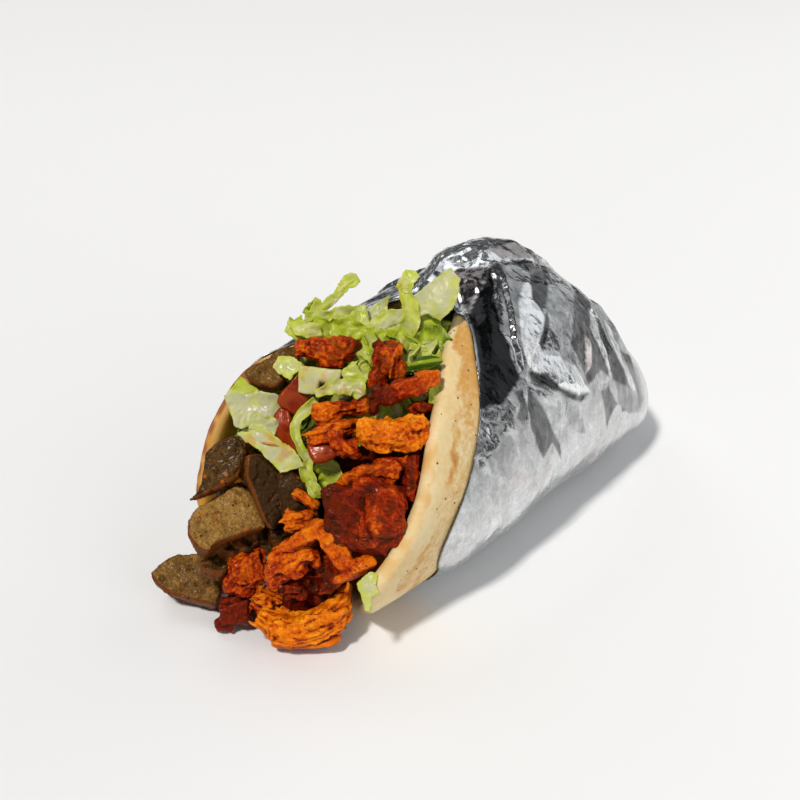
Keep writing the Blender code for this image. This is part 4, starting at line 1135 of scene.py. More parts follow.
def makeFoil():
    tree = treeOf(smoothShell("foil", 2))
    breadTree = treeOf(smoothShell("pita", 2))
    count = foilSpec["around"]
    angles = np.linspace(-180, 180, count, endpoint=False)
    spokes = [Vector((math.sin(math.radians(a)), 0, -math.cos(math.radians(a)))) for a in angles]
    middle = Vector(foilSpec["middle"]) * mm
    starts = np.array([foilStart(tree, spoke) for spoke in spokes])
    starts += noiseAt(np.stack((angles / 9, angles * 0, angles * 0), 1), 1.0, 3) * 0.4 * mm
    # Underneath, the foil comes further forward and closes the gap below the bread
    edges = starts - foilSpec["tongue"] * mm * smoothStep(angles, -20, 5) * (1 - smoothStep(angles, 40, 60))
    rows = []

    def cast(origin, direction, reach=0.2):
        at = tree.ray_cast(origin + direction * reach, -direction)[0]
        return at if at is not None else origin + direction * 0.02

    for i in range(foilSpec["endRows"]):
        close = math.radians(90 * (1 - i / foilSpec["endRows"]))
        back = Vector((0, math.sin(close), 0))
        rows.append([cast(middle, spoke * math.cos(close) + back) for spoke in spokes])
    for i in range(foilSpec["along"]):
        t = i / (foilSpec["along"] - 1)
        ys = middle.y + (edges - middle.y) * t
        lift = Vector((0, 0, middle.z)).lerp(Vector((0, 0, axisHeight * mm)), min(t * 4, 1))
        backs = np.maximum(ys, starts + foilSpec["hem"] * mm)
        row = np.array([cast(Vector((0, y, 0)) + lift, spoke) for y, spoke in zip(backs, spokes)])
        row[:, 1] += ys - backs          # the last rows run straight on from behind the rounded edge
        for k, spoke in enumerate(spokes):
            # Near its edge the foil hugs the bread
            near = 1 - smoothStep((ys[k] - edges[k]) / mm, 0, foilSpec["hug"])
            at = Vector(row[k])
            touch = breadTree.ray_cast(at + spoke * 4 * mm, -spoke, 14 * mm)[0] if near > 0 else None
            if touch is not None:
                row[k] = at.lerp(touch + spoke * foilSpec["gap"] * mm, float(near))
        rows.append(row)
    last = len(rows) - 1
    hem, inner = foilSpec["hemRows"], foilSpec["innerRows"]
    # Displaces the outer face, then turns the hem in and closes the inside well behind the folds
    smooth = relaxedGrid(np.array([np.array(row) for row in rows], float))
    flat = smooth.reshape(-1, 3)
    degrees = degreesRound(flat)
    height, tone, rose, crisp = crumpled(degrees, flat[:, 1] / mm, flat / mm)
    rowsFromEdge = last - np.arange(last + 1)
    ease = smoothStep(np.arange(last + 1), 0, 10) * (0.08 + 0.92 * smoothStep(rowsFromEdge, 0, 9))
    lift = (height * np.repeat(ease, count)).reshape(last + 1, count, 1)
    shaped = smooth + gridNormals(smooth) * lift * mm
    inward = -gridNormals(shaped)
    walls = [shaped]
    for i in range(hem):
        walls.append((shaped[last - i] + inward[last - i] * foilSpec["wall"] * mm)[None])
    for i in range(inner):
        index = int((last - hem) * (1 - (i + 1) / inner) ** 2)     # closer together at the closed end
        walls.append((smooth[index] + inward[index] * foilSpec["tuck"] * mm)[None])
    whole = np.concatenate(walls)
    bm = bmesh.new()
    bmesh.ops.create_grid(bm, x_segments=count, y_segments=len(whole) - 1, size=1)
    mesh = meshFrom(bm, "wrapper")
    grid = (coordsOf(mesh) + 1) / 2
    column = np.rint(grid[:, 0] * count).astype(int) % count
    row = np.rint(grid[:, 1] * (len(whole) - 1)).astype(int)
    whole[-1] = whole[-1].mean(0)
    whole[0] = whole[0].mean(0)
    whole[:, :, 2] = np.maximum(whole[:, :, 2], 0)
    setCoords(mesh, whole[row, column])
    source = np.minimum(row, last) * count + column
    # Painted shadow: the front edge rows are darkened where the foil meets the bread
    seam = np.repeat(smoothStep(-rowsFromEdge, -1.5, 0), count) * (degrees > 40)
    tone = tone + (0.3 * tone - tone) * seam
    # The inside takes the painted tone of the outer face's edge row, made brighter
    within = np.where(row <= last, 1.0, 1.6)
    setAttributes(mesh, tone=np.clip(tone[source] * within, 0, 1), rose=rose[source], crisp=crisp[source],
                  lean=leaning(whole[row, column] / mm))
    bm = bmesh.new()
    bm.from_mesh(mesh)
    bmesh.ops.remove_doubles(bm, verts=bm.verts, dist=1e-6)
    bmesh.ops.recalc_face_normals(bm, faces=bm.faces)
    bm.to_mesh(mesh)
    bm.free()
    mesh.shade_smooth()
    return addPiece("wrapper", mesh, makeFoilMaterial(), "foil", "foil")


def relaxedGrid(rows):
    # Evens out a closed band of rows, as facets of the frame would show in the foil
    eased = rows.copy()
    closed = 1 - smoothStep(np.arange(len(rows)), 45, 70)[:, None, None]
    for turn in range(60):
        around = (np.roll(eased, 1, 1) + np.roll(eased, -1, 1)) / 2
        along = eased.copy()
        along[1:-1] = (eased[2:] + eased[:-2]) / 2
        eased = eased + (around + along - 2 * eased) / 4 * (1 if turn < 6 else closed)
    return eased


def gridNormals(rows):
    around = np.roll(rows, -1, 1) - np.roll(rows, 1, 1)
    along = np.gradient(rows, axis=0)
    normals = np.cross(around, along)
    length = np.maximum(np.linalg.norm(normals, axis=2, keepdims=True), 1e-12)
    normals = normals / length
    out = rows - rows.mean(1, keepdims=True)
    out[:, :, 1] = np.maximum(rows[:, :, 1] - foilSpec["middle"][1] * mm, 0)
    flip = np.sign((normals * out).sum(2, keepdims=True))
    return normals * np.where(flip == 0, 1, flip)


# bright and black are the ends of the foil's painted reflection tone, and the rose colour is its painted
# rosy reflection
foilLook = {"bright": (0.92, 0.94, 0.945), "black": (0.008, 0.008, 0.009), "rose": (0.84, 0.66, 0.62),
            "roughness": 0.20, "facets": 0.40, "slivers": 0.35}


def leaning(place):
    # Places drawn together along the way the creases run, back and down
    way = np.array((0, 0.44, -0.90))
    return place - np.outer(place @ way, way) * (1 - 1 / foilSpec["stretch"])


def makeFoilMaterial():
    material, tree, shader = newMaterial("crumpled_foil")
    look = foilLook
    lean = attribute(tree, "lean", "Vector")
    turned = put(tree, "VectorRotate", {"Vector": lean, "Angle": 0.7, "Axis": (0.3, 0.8, 0.5)})
    facets, slivers = (put(tree, "TexVoronoi", {"Vector": way, "Scale": scale}, distance="CHEBYCHEV")
                       for way, scale in ((lean, 0.21), (turned.outputs["Vector"], 0.40)))
    warped = cloud(tree, objectPlace(tree), 700.0, 3.0, 0.55)
    # Each facet and sliver cell is painted its own brightness, scaled by crisp: painted reflection
    shades = [put(tree, "SeparateColor", {"Color": cells.outputs["Color"]}).outputs["Red"]
              for cells in (facets, slivers)]
    change = maths(tree, "MULTIPLY_ADD", shades[0], look["facets"],
                   maths(tree, "MULTIPLY", shades[1], look["slivers"]))
    change = maths(tree, "SUBTRACT", change, (look["facets"] + look["slivers"]) / 2)
    crisp = attribute(tree, "crisp")
    share = maths(tree, "MULTIPLY_ADD", change, crisp, 1.0)
    share = maths(tree, "MULTIPLY", attribute(tree, "tone"), share)
    tone = maths(tree, "MULTIPLY", share, ranged(tree, warped, 0.3, 0.7, 0.88, 1.12), clamp=True)
    # The tone mixes the metal from black to bright: painted reflection
    color = mixed(tree, tone, look["black"], look["bright"])
    # A rose tint mixed in: painted reflection
    color = mixed(tree, maths(tree, "MULTIPLY", attribute(tree, "rose"), 0.55), color,
                  mixed(tree, 1.0, color, look["rose"], "MULTIPLY"))
    rough = ranged(tree, warped, 0.3, 0.7, look["roughness"] - 0.04, look["roughness"] + 0.10)
    fill(tree, shader, {"Base Color": color, "Metallic": 1.0, "Roughness": rough})
    before = None
    for cells, distance in ((facets, 0.60), (slivers, 0.26)):
        raisedCells = maths(tree, "MULTIPLY", cells.outputs["Distance"], crisp)
        before = bumped(tree, shader, raisedCells, 1.0, distance, before)
    bumped(tree, shader, warped, 0.14, 0.2, before)
    return material


makeFoil()
print("foil is made")

# Strips of leaf and pepper. Each path is points from a node's middle: x, y, z, half width, turn in degrees
paths = {
    "flap_corner": ("lettuce_flap", ((-5.7, 7.9, -3, 2.3, 0), (-1.3, 7.4, -2, 3, 10),
        (3, 5.8, -3, 2.4, 0))),
    "curl": ("lettuce_curl", ((-9, -2.7, 0, 1.2, 0), (-4.5, -1.2, 0, 2.1, 20), (-0.2, -0.2, 0, 2.8, -20),
        (3.7, -0.5, 0, 3.1, 20), (5.7, -3.6, 0, 1.6, 0))),
    "frill": ("lettuce_frill", ((-17, 1.2, 0, 2, 0), (-12.3, -0.5, 1, 3.4, 0), (-6.1, -0.6, 1, 3.9, 20),
        (0.1, -0.2, 1, 4.1, 0), (6.2, 0.7, 0, 3.5, -20), (9.4, 2.1, 0, 2.7, 0))),
    "frill_back": ("lettuce_frill", ((-11.7, 2.9, -3, 2.3, 0), (-4.5, 2.2, -3, 3.2, 0),
        (2.6, 3.3, -3, 3.4, 0), (8.8, 4.9, -3, 2.7, 0))),
    "frill_low": ("lettuce_frill", ((-3.4, -2.1, 3, 2.1, 0), (1.5, -0.4, 3, 3.4, 20), (6.3, -1.8, 3, 3, 0),
        (9.1, -4.2, 2, 1.9, 0))),
    "stalk": ("lettuce_stalk", ((-9.2, -8.4, -1, 1.5, 0), (-5.9, -5.3, -1, 1.5, 0),
        (-2.5, -2.3, -1, 1.3, 0), (0.9, 1.5, -1, 1, 0), (3.4, 3.4, -1, 0.8, 0), (5.2, 4.7, -1, 0.5, 0))),
    "stalk_foot": ("lettuce_stalk", ((-11.4, -8, -1, 1.8, 0), (-9.2, -5.3, -1, 2.3, 30),
        (-7.6, -2.4, -1, 1.1, 0))),
    "strip": ("lettuce_strip", ((-1.7, -10.8, -2, 2.6, 0), (1.1, -5.3, 0, 3, 0), (1.1, -0.1, 1, 2.5, 10),
        (-0.1, 4.5, 1, 2.1, 0), (0.1, 7.6, 1, 2.1, 0))),
    "bright": ("lettuce_tall", ((-9.2, -17.7, 0, 2.3, 0), (-4.8, -14.9, 1, 4, 0), (-0.4, -13.1, 0, 4.2, 20),
        (2.5, -11.3, -1, 3.2, 0))),
    "bright_back": ("lettuce_tall", ((-4.3, -4.5, -3, 2.3, 0), (-2.8, -9.2, -3, 3.5, 0),
        (-1.5, -14, -3, 3.4, 0), (0.1, -18.1, -3, 2.3, 0))),
    "core": ("lettuce_core", ((4.3, 14.5, -1, 1.6, 0), (1, 11.5, 0, 1.9, 0), (-1.7, 8.4, 1, 1.7, 20),
        (-2.4, 3.9, 1, 1.4, 0), (-0.4, -0.9, 1, 1.3, -20), (1.7, -4.6, 0, 1.4, 0), (1, -8.1, 0, 2.3, 0),
        (2.9, -12.4, 0, 2.3, 30), (4.3, -16.3, 0, 1.4, 0))),
    "core_back": ("lettuce_core", ((3.8, -5.4, -3, 2.1, 0), (7.6, -7.8, -4, 3.9, 0),
        (9.1, -12.6, -5, 3.9, 0), (8, -16.6, -6, 3, 0))),
    "shard": ("lettuce_core", ((2.4, -10.6, 3, 0.9, 0), (3.6, -12.1, 3, 1.4, 0), (4.8, -14, 3, 1.2, 0),
        (5.1, -16.5, 2, 0.6, 0))),
    "side_green": ("pepper_strip", ((8.4, -2.2, 2, 1.5, 0), (8.7, -5.8, 2, 1.9, 0),
        (7.9, -9.6, 2, 1.2, 0))),
    "pepper": ("pepper_strip", ((-0.7, 0.4, 0, 0.9, 0), (3.1, 2.6, 1, 2, 0), (7.4, 3.6, 1, 2.2, 0),
        (11.5, 4.1, 1, 1.9, 0))),
    "ring": ("lettuce_curl", ((5.9, 5, -1.1, 0.3, 0), (4.2, 6.5, -1.1, 0.4, 0), (5.7, 8.3, -1.1, 0.4, 0),
        (7.8, 7.1, -1.1, 0.4, 0), (7.1, 5.3, -1.1, 0.3, 0))),
    "carrot": ("lettuce_flap", ((-2.9, 1.9, 0.7, 0.4, 0), (0.9, 1.2, 1.2, 0.5, 0),
        (4.9, 0.4, 1.2, 0.4, 0))),
}
# Cut leaves: a node, how far out of its middle, and the outline as it is seen
sheets = {
    "stalk_leaf": ("lettuce_stalk", 0.5, ((-10.9, -7), (-8.4, -2.5), (-6.4, -3.6), (-3, -0.9), (-1.1, 2.3),
        (0.7, 4.8), (2.9, 5.9), (5, 5.6), (6.2, 3.2), (4.7, 1.4), (2.3, 0.7), (0.1, -2), (-3, -5),
        (-5.5, -7.4), (-8.4, -8.1))),
    "leaf": ("lettuce_leaf", 1, ((-4.4, 4.3), (-2.2, 5.5), (4, 4.4), (7.5, 5.5), (13.4, 4.4), (14.1, 0.5),
        (13.4, -4.4), (5.8, -5.4), (1.5, -6.5), (-0.6, -6), (-2.3, -1.6))),
    "leaf_edge": ("lettuce_leaf", 0, ((-3.5, 5.1), (-1, 8), (1.1, 10.4), (3.5, 8.4), (6.7, 5.8), (7.4, 3.9),
        (3.9, 3), (-2.3, 4.1))),
    "leaf_under": ("lettuce_leaf", 0, ((1.7, -6.5), (6.1, -3.5), (11.4, -3.3), (12.6, -6.3), (14.7, -10.4),
        (12.7, -12.4), (7.4, -9.7))),
    "flap": ("lettuce_flap", 1, ((-9.7, 4.7), (-6, 4.9), (-2.7, 6.1), (1.4, 4.7), (5, 1.5), (8.5, -0.7),
        (12.1, -6), (8.5, -6.9), (4.3, -8.3), (1.1, -5), (-2.7, -0.7), (-6.9, 1.7))),
    "shade": ("lettuce_leaf", 5, ((11.8, 13), (13.3, 16.7), (17.1, 16.7), (21.2, 14.7), (20.8, 12.1),
        (18.6, 10.9), (17.3, 9), (13.9, 11.1))),
    "curl_back": ("lettuce_curl", -3, ((-1.5, 3.7), (2.1, 7.4), (8.4, 8.7), (8.9, 4.1), (6.8, 0.1),
        (4, 0.1), (0.4, 2.3))),
    "frill_left": ("lettuce_frill", 3, ((-17.1, 1.5), (-14.3, 2.3), (-10.4, 1.6), (-6.7, 0.9), (-5.3, -2.8),
        (-10.4, -3.9), (-14.8, -2.3))),
    "frill_high": ("lettuce_frill", -7, ((6.1, 2.4), (8, 5.5), (13.8, 9.6), (16.1, 10.7), (15.1, 6.8),
        (15.6, 4.1), (11.5, 1.5))),
    "broad": ("lettuce_strip", -4, ((-15.5, -12.1), (-14.4, -7.4), (-10.7, -2.9), (-5.4, -0.1),
        (-0.8, -0.1), (-0.4, -4.2), (-5.7, -5.8), (-6.3, -7.9), (-8, -10.2), (-12.5, -12.1))),
    "broad_low": ("lettuce_strip", -3, ((-7.3, -7.1), (-2.7, -5.2), (3.1, -4.6), (2.2, -9), (-1.8, -11.5),
        (-5.8, -9.3))),
    "strip_top": ("lettuce_strip", 1, ((-3.4, 6.8), (-1.8, 9.7), (-0.3, 12.2), (3.1, 11.8), (4.5, 9.7),
        (1.8, 7.1), (1.7, 4.5), (-1.7, 4.5))),
    "tall": ("lettuce_tall", 1, ((-7.9, 0.2), (-2.7, 4.8), (1.5, 7.9), (4, 9.5), (6.8, 5.5), (6.1, 0.5),
        (4.2, -4.4), (0, -8), (-3.5, -5.4), (-6.5, -6.6), (-6.9, -3.5))),
    "tuft": ("lettuce_tall", 3, ((-10, -17.4), (-8.8, -14.9), (-7.1, -14.2), (-3.9, -17.9), (-6.2, -17.9),
        (-7.6, -16.7))),
    "scrap": ("lettuce_scrap", -3.7, ((-3.3, 2.9), (1.4, 6.5), (3.4, 5.5), (2.9, 2.1), (4.1, -0.4),
        (1.7, -1.6), (1.4, -5.8), (-0.4, -5.8), (-1.5, -1.1))),
}


leafBase = {"cell": 0.42, "fold": 1.0, "ribAngle": 0, "cells": (14, 30), "torn": 0.1, "ruffle": 0.5,
    "waves": 3.0, "crinkle": 0.5, "curl": 0.25, "tone": 0.3, "edge": 0.3, "stain": 0.0, "rib": 0.0,
    "thick": 0.3, "seed": 1}
leafSpecs = {
    "leaf": {"tone": 0.0, "edge": 0.05, "fold": 1.2, "ribAngle": 80, "rib": 0.3, "seed": 2},
    "leaf_edge": {"tone": 0.34, "edge": 0.2, "ruffle": 1.0, "ribAngle": 70, "seed": 3},
    "leaf_under": {"tone": 0.02, "edge": 0.1, "fold": 1.4, "ribAngle": 60, "seed": 21, "stain": 0.25},
    "flap": {"tone": 0.05, "edge": 0.24, "fold": 1.4, "ribAngle": 50, "stain": 0.5, "ruffle": 0.8,
        "seed": 4},
    "flap_corner": {"tone": 0.03, "edge": 0.1, "cells": (20, 30), "seed": 5},
    "shade": {"tone": 0.2, "edge": 0.1, "ribAngle": 30, "seed": 6},
    "curl": {"tone": 0.12, "edge": 0.3, "ruffle": 1.2, "waves": 4, "cells": (20, 56), "stain": 0.3,
        "seed": 7},
    "curl_back": {"tone": 0.3, "edge": 0.15, "fold": 1.6, "ribAngle": 40, "seed": 8},
    "frill": {"tone": 0.25, "edge": 0.2, "ruffle": 1.1, "waves": 3.4, "cells": (24, 80), "torn": 0.35,
        "seed": 9},
    "frill_left": {"tone": 0.2, "edge": 0.25, "fold": 1.6, "ruffle": 1.0, "ribAngle": 75, "seed": 26},
    "frill_back": {"tone": 0.22, "edge": 0.1, "ruffle": 0.9, "waves": 2.6, "cells": (22, 60), "seed": 10},
    "frill_low": {"tone": 0.42, "edge": 0.2, "ruffle": 1.1, "waves": 3.3, "cells": (22, 56), "seed": 11},
    "frill_high": {"tone": 0.1, "edge": 0.1, "fold": 1.2, "ribAngle": 40, "seed": 22},
    "stalk_leaf": {"tone": 0.2, "edge": 0.3, "fold": 0.8, "ruffle": 1.4, "ribAngle": -40, "seed": 31},
    "stalk_foot": {"tone": 0.3, "ruffle": 0.9, "cells": (16, 30), "seed": 12},
    "broad": {"tone": 0.14, "edge": 0.15, "fold": 1.6, "ribAngle": -50, "rib": 0.5, "seed": 13},
    "broad_low": {"tone": 0.1, "edge": 0.15, "fold": 1.4, "ribAngle": -30, "seed": 27},
    "strip": {"tone": 0.25, "edge": 0.12, "ruffle": 0.5, "curl": 0.5, "cells": (24, 56), "seed": 14,
        "stain": 0.2},
    "strip_top": {"tone": 0.28, "edge": 0.15, "fold": 1.4, "ribAngle": -20, "seed": 28, "stain": 0.2},
    "tall": {"tone": 0.06, "edge": 0.14, "fold": 1.8, "ribAngle": -35, "rib": 0.4, "seed": 15},
    "bright": {"tone": 0.66, "edge": 0.2, "ruffle": 1.3, "waves": 4, "cells": (26, 56), "seed": 16},
    "bright_back": {"tone": 0.6, "edge": 0.2, "ruffle": 1.0, "waves": 3, "cells": (24, 40), "seed": 17},
    "tuft": {"tone": 0.12, "edge": 0.2, "fold": 1.2, "seed": 23},
    "core": {"tone": 0.18, "edge": 0.3, "ruffle": 0.5, "curl": 0.6, "cells": (16, 90), "seed": 18},
    "core_back": {"tone": 0.42, "edge": 0.1, "ruffle": 0.6, "cells": (24, 40), "seed": 19},
    "shard": {"tone": 0.3, "edge": 0.1, "ruffle": 0.4, "cells": (14, 30), "seed": 24},
    "scrap": {"tone": 0.14, "edge": 0.12, "fold": 1.2, "ribAngle": -10, "seed": 20},
    "side_green": {"tone": 0.5, "edge": 0.1, "ruffle": 0.7, "cells": (20, 30), "seed": 25},
}
ropeSpecs = {
    "stalk": {"flat": 0.7, "blunt": 0.4, "tone": 0.24},
    "pepper": {"flat": 0.75, "blunt": 0.5}, "carrot": {"flat": 0.8, "blunt": 0.6},
    "ring": {"flat": 0.9, "blunt": 0.3},
}


def smoothPath(points, count):
    # A smooth curve through rows of numbers
    rows = np.array(points, float)
    rows = np.vstack((2 * rows[0] - rows[1], rows, 2 * rows[-1] - rows[-2]))
    t = np.linspace(0, len(rows) - 3, count)
    at = np.minimum(t.astype(int), len(rows) - 4)
    u = (t - at)[:, None]
    a, b, c, d = (rows[at + k] for k in range(4))
    square, cube = 2 * a - 5 * b + 4 * c - d, 3 * b - a - 3 * c + d
    return 0.5 * (2 * b + (c - a) * u + square * u ** 2 + cube * u ** 3)


def pathFrame(points, count):
    # Middles, half widths, and the side and face directions along a path
    rows = smoothPath(points, count)
    along = np.gradient(rows[:, :3], axis=0)
    along /= np.linalg.norm(along, axis=1, keepdims=True)
    side = np.cross((0, 0, 1), along)
    side /= np.maximum(np.linalg.norm(side, axis=1, keepdims=True), 1e-6)
    face = np.cross(along, side)
    turn = np.radians(rows[:, 4:5])
    return (rows[:, :3], np.maximum(rows[:, 3], 0.1), side * np.cos(turn) + face * np.sin(turn),
            face * np.cos(turn) - side * np.sin(turn))


def leafLayers(bm):
    floats, vectors = bm.verts.layers.float, bm.verts.layers.float_vector
    return [floats.get(name) or floats.new(name) for name in ("tone", "rib", "stain")] + [
        vectors.get("vein") or vectors.new("vein")]


def setLeaf(bm, verts, moved, *values):
    # Puts vertices in place, with what the lettuce's look reads
    layers = leafLayers(bm)
    for vert, spot, *levels in zip(verts, moved, *values):
        vert.co = spot
        for layer, level in zip(layers, levels):
            vert[layer] = level


def addLeaf(bm, points, spec, origin, axes):
    # A leaf along a path, with torn and ruffled edges
    spec = {**leafBase, **spec}
    leafLayers(bm)
    across, count = spec["cells"]
    verts = bmesh.ops.create_grid(bm, x_segments=across, y_segments=count - 1, size=1)["verts"]
    flat = np.array([vert.co for vert in verts], float)
    u = flat[:, 0]
    row = np.rint((flat[:, 1] + 1) / 2 * (count - 1)).astype(int)
    middles, half, side, face = (part[row] for part in pathFrame(points, count))
    seed = spec["seed"] * 5.7
    length = np.linalg.norm(np.diff(smoothPath(points, count)[:, :3], axis=0), axis=1)
    run = np.concatenate(((0,), np.cumsum(length)))[row]
    x = u * half
    place = np.stack((x, run, x * 0 + seed), 1)
    rim = np.abs(u) ** 3
    tear = noiseAt(place, 3.5, seed) + 0.5 * noiseAt(place, 1.5, seed + 1)
    x = x + np.sign(u) * rim * spec["torn"] * 2.5 * tear * np.minimum(half, 4)
    wave = np.sin(spec["waves"] * 2 * math.pi * run / run.max() + seed + 1.5 * np.sign(u))
    z = spec["ruffle"] * wave * smoothStep(np.abs(u), 0.2, 1.0) * np.minimum(half / 3, 1)
    puckers = 1.2 * noiseAt(place, 4.5, seed + 2) - 1.1 * np.abs(noiseAt(place, 2.4, seed + 3))
    z += spec["crinkle"] * (puckers - 0.4 * np.abs(noiseAt(place, 1.1, seed + 6)))
    z += spec["curl"] * half * (u ** 2 - 0.4)
    local = middles + side * x[:, None] + face * z[:, None]
    moved = np.array(origin) + (local @ np.array(axes).T) * mm
    patch = noiseAt(place, 5.0, seed + 4)
    stain = spec["stain"] * smoothStep(noiseAt(place, 3.4, seed + 5), 0.1, 0.4)
    tone = np.clip(spec["tone"] + spec["edge"] * rim + 0.16 * patch, 0, 1)
    rib = spec["rib"] * np.exp(-(x / 1.1) ** 2)
    setLeaf(bm, verts, moved, tone, rib, stain, place)
    bmesh.ops.recalc_face_normals(bm, faces=list({face for vert in verts for face in vert.link_faces}))


def addSheet(bm, depth, outline, spec, origin):
    # A flat cut of leaf with a crisp outline, folded and crinkled
    spec = {**leafBase, **spec}
    leafLayers(bm)
    corners = np.array(outline, float)
    low, high = corners.min(0), corners.max(0)
    cell = spec["cell"]
    many = np.ceil((high - low) / cell).astype(int)
    verts = bmesh.ops.create_grid(bm, x_segments=many[0], y_segments=many[1], size=0.5)["verts"]
    place = np.array([vert.co.xy for vert in verts], float) * (many * cell) + (low + high) / 2
    reach, nearest = outlineReach(place, corners)
    kept = reach < cell * 0.6
    place = np.where((np.abs(reach) < cell * 0.6)[:, None], nearest, place)
    seed = spec["seed"] * 5.7
    at = np.stack((place[:, 0], place[:, 1], place[:, 0] * 0 + seed), 1)
    rim = smoothStep(reach, -2.2, 0)
    wobble = np.stack((noiseAt(at, 1.7, seed), noiseAt(at, 1.7, seed + 1)), 1) * 0.35
    place = place + wobble * rim[:, None]
    ribAngle = math.radians(spec["ribAngle"])
    across = place[:, 0] * math.cos(ribAngle) + place[:, 1] * math.sin(ribAngle)
    across -= across.mean()
    along = place[:, 1] * math.cos(ribAngle) - place[:, 0] * math.sin(ribAngle)
    span = max(np.abs(across).max(), 1)
    z = depth + spec["curl"] * span * ((across / span) ** 2 - 0.3)
    z += spec["fold"] * noiseAt(at, 7.0, seed + 2)
    z += spec["ruffle"] * rim * noiseAt(at, 2.6, seed + 3)
    z -= spec["crinkle"] * (np.abs(noiseAt(at, 2.4, seed + 4)) + 0.5 * np.abs(noiseAt(at, 1.2, seed + 5)))
    local = np.stack((place[:, 0], place[:, 1], z), 1)
    moved = np.array(origin) + (local @ np.array(mouthAxes()).T) * mm
    tone = spec["tone"] + 0.16 * noiseAt(at, 5, seed + 7)
    tone = np.clip(tone + spec["edge"] * rim * (0.5 + noiseAt(at, 4, seed + 6)), 0, 1)
    rib = spec["rib"] * np.exp(-(across / 1.1) ** 2)
    stain = spec["stain"] * smoothStep(noiseAt(at, 3.4, seed + 8), 0.1, 0.4)
    setLeaf(bm, verts, moved, tone, rib, stain, np.stack((across, along, z), 1))
    bmesh.ops.delete(bm, geom=[vert for vert, keep in zip(verts, kept) if not keep], context="VERTS")


def addRope(bm, points, spec, origin, axes):
    # A rounded strip along a path
    rings = 36
    verts = bmesh.ops.create_uvsphere(bm, u_segments=16, v_segments=rings, radius=1)["verts"]
    middles, half, side, face = pathFrame(points, rings + 1)
    for vert in verts:
        x, y, z = vert.co
        row = round((1 - math.acos(max(-1, min(1, z))) / math.pi) * rings)
        ring = max(math.hypot(x, y), 1e-6)
        grow = ring ** spec["blunt"] / ring * half[row]
        local = middles[row] + side[row] * x * grow + face[row] * y * grow * spec["flat"]
        vert.co = Vector(origin) + axes @ Vector(local) * mm


def thickened(mesh):
    result = evaluated(mesh, type="SOLIDIFY", thickness=leafBase["thick"] * mm, offset=0)
    result.shade_smooth()
    return result


lettuceLook = {
    "rib": (0.58, 0.55, 0.36), "stain": (0.50, 0.20, 0.02),
    "stops": ((0.0, (0.47, 0.46, 0.25)), (0.25, (0.48, 0.51, 0.075)), (0.50, (0.40, 0.48, 0.012)),
              (0.75, (0.18, 0.24, 0.006)), (1.0, (0.05, 0.08, 0.003))),
}


def makeLettuceMaterial():
    material, tree, shader = newMaterial("lettuce")
    vein = attribute(tree, "vein", "Vector")
    split = put(tree, "SeparateXYZ", {"Vector": vein})
    side = maths(tree, "ABSOLUTE", split.outputs["X"])
    slant = maths(tree, "SUBTRACT", split.outputs["Y"], maths(tree, "MULTIPLY", side, 0.9))
    wander = cloud(tree, vein, 0.35)
    comb = maths(tree, "PINGPONG", maths(tree, "ADD", slant, maths(tree, "MULTIPLY", wander, 3.0)), 1.7)
    veins = ranged(tree, comb, 0.0, 0.3, 1.0, 0.0)
    blotch = cloud(tree, objectPlace(tree), 260.0, 3.0)
    tone = maths(tree, "ADD", attribute(tree, "tone"), ranged(tree, blotch, 0.3, 0.7, -0.12, 0.12))
    paler = maths(tree, "MAXIMUM", maths(tree, "MULTIPLY", veins, 0.25), attribute(tree, "rib"))
    color = mixed(tree, paler, colorSteps(tree, tone, lettuceLook["stops"]), lettuceLook["rib"])
    fill(tree, shader, {
        "Base Color": mixed(tree, attribute(tree, "stain"), color, lettuceLook["stain"]),
        "Roughness": ranged(tree, blotch, 0.3, 0.7, 0.3, 0.55), "Specular IOR Level": 0.4,
        "Subsurface Weight": 0.3, "Subsurface Radius": (0.7, 1.0, 0.25), "Subsurface Scale": 0.0016})
    first = bumped(tree, shader, veins, 0.3, 0.2)
    bumped(tree, shader, wander, 0.5, 0.4, first)
    return material


lettuceMaterial = makeLettuceMaterial()


def leafPiece(name, keys, *replaced):
    bm = bmesh.new()
    for key in keys:
        if key in sheets:
            node, depth, outline = sheets[key]
            addSheet(bm, depth, outline, leafSpecs[key], middleOf(node))
        else:
            node, points = paths[key]
            addLeaf(bm, points, leafSpecs[key], middleOf(node), mouthAxes())
    return addPiece(name, thickened(meshFrom(bm, name)), lettuceMaterial, "lettuce", *replaced)


# What each piece of lettuce is cut from, and the node it stands for
leafKeys = {
    "leaf_big": ("lettuce_leaf", "leaf", "leaf_edge", "leaf_under", "shade"),
    "leaf_flap": ("lettuce_flap", "flap", "flap_corner"),
    "leaf_curl": ("lettuce_curl", "curl", "curl_back"),
    "leaf_frill": ("lettuce_frill", "frill", "frill_back", "frill_low", "frill_left", "frill_high"),
    "leaf_strip": ("lettuce_strip", "broad", "broad_low", "strip", "strip_top"),
    "leaf_tall": ("lettuce_tall", "tall", "bright", "bright_back", "tuft"),
    "leaf_core": ("lettuce_core", "core", "core_back", "shard"), "leaf_scrap": ("lettuce_scrap", "scrap"),
    "leaf_foot": (None, "stalk_foot", "stalk_leaf"), "leaf_side": (None, "side_green"),
}
for name, (node, *keys) in leafKeys.items():
    leafPiece(name, keys, *([node] if node else []))


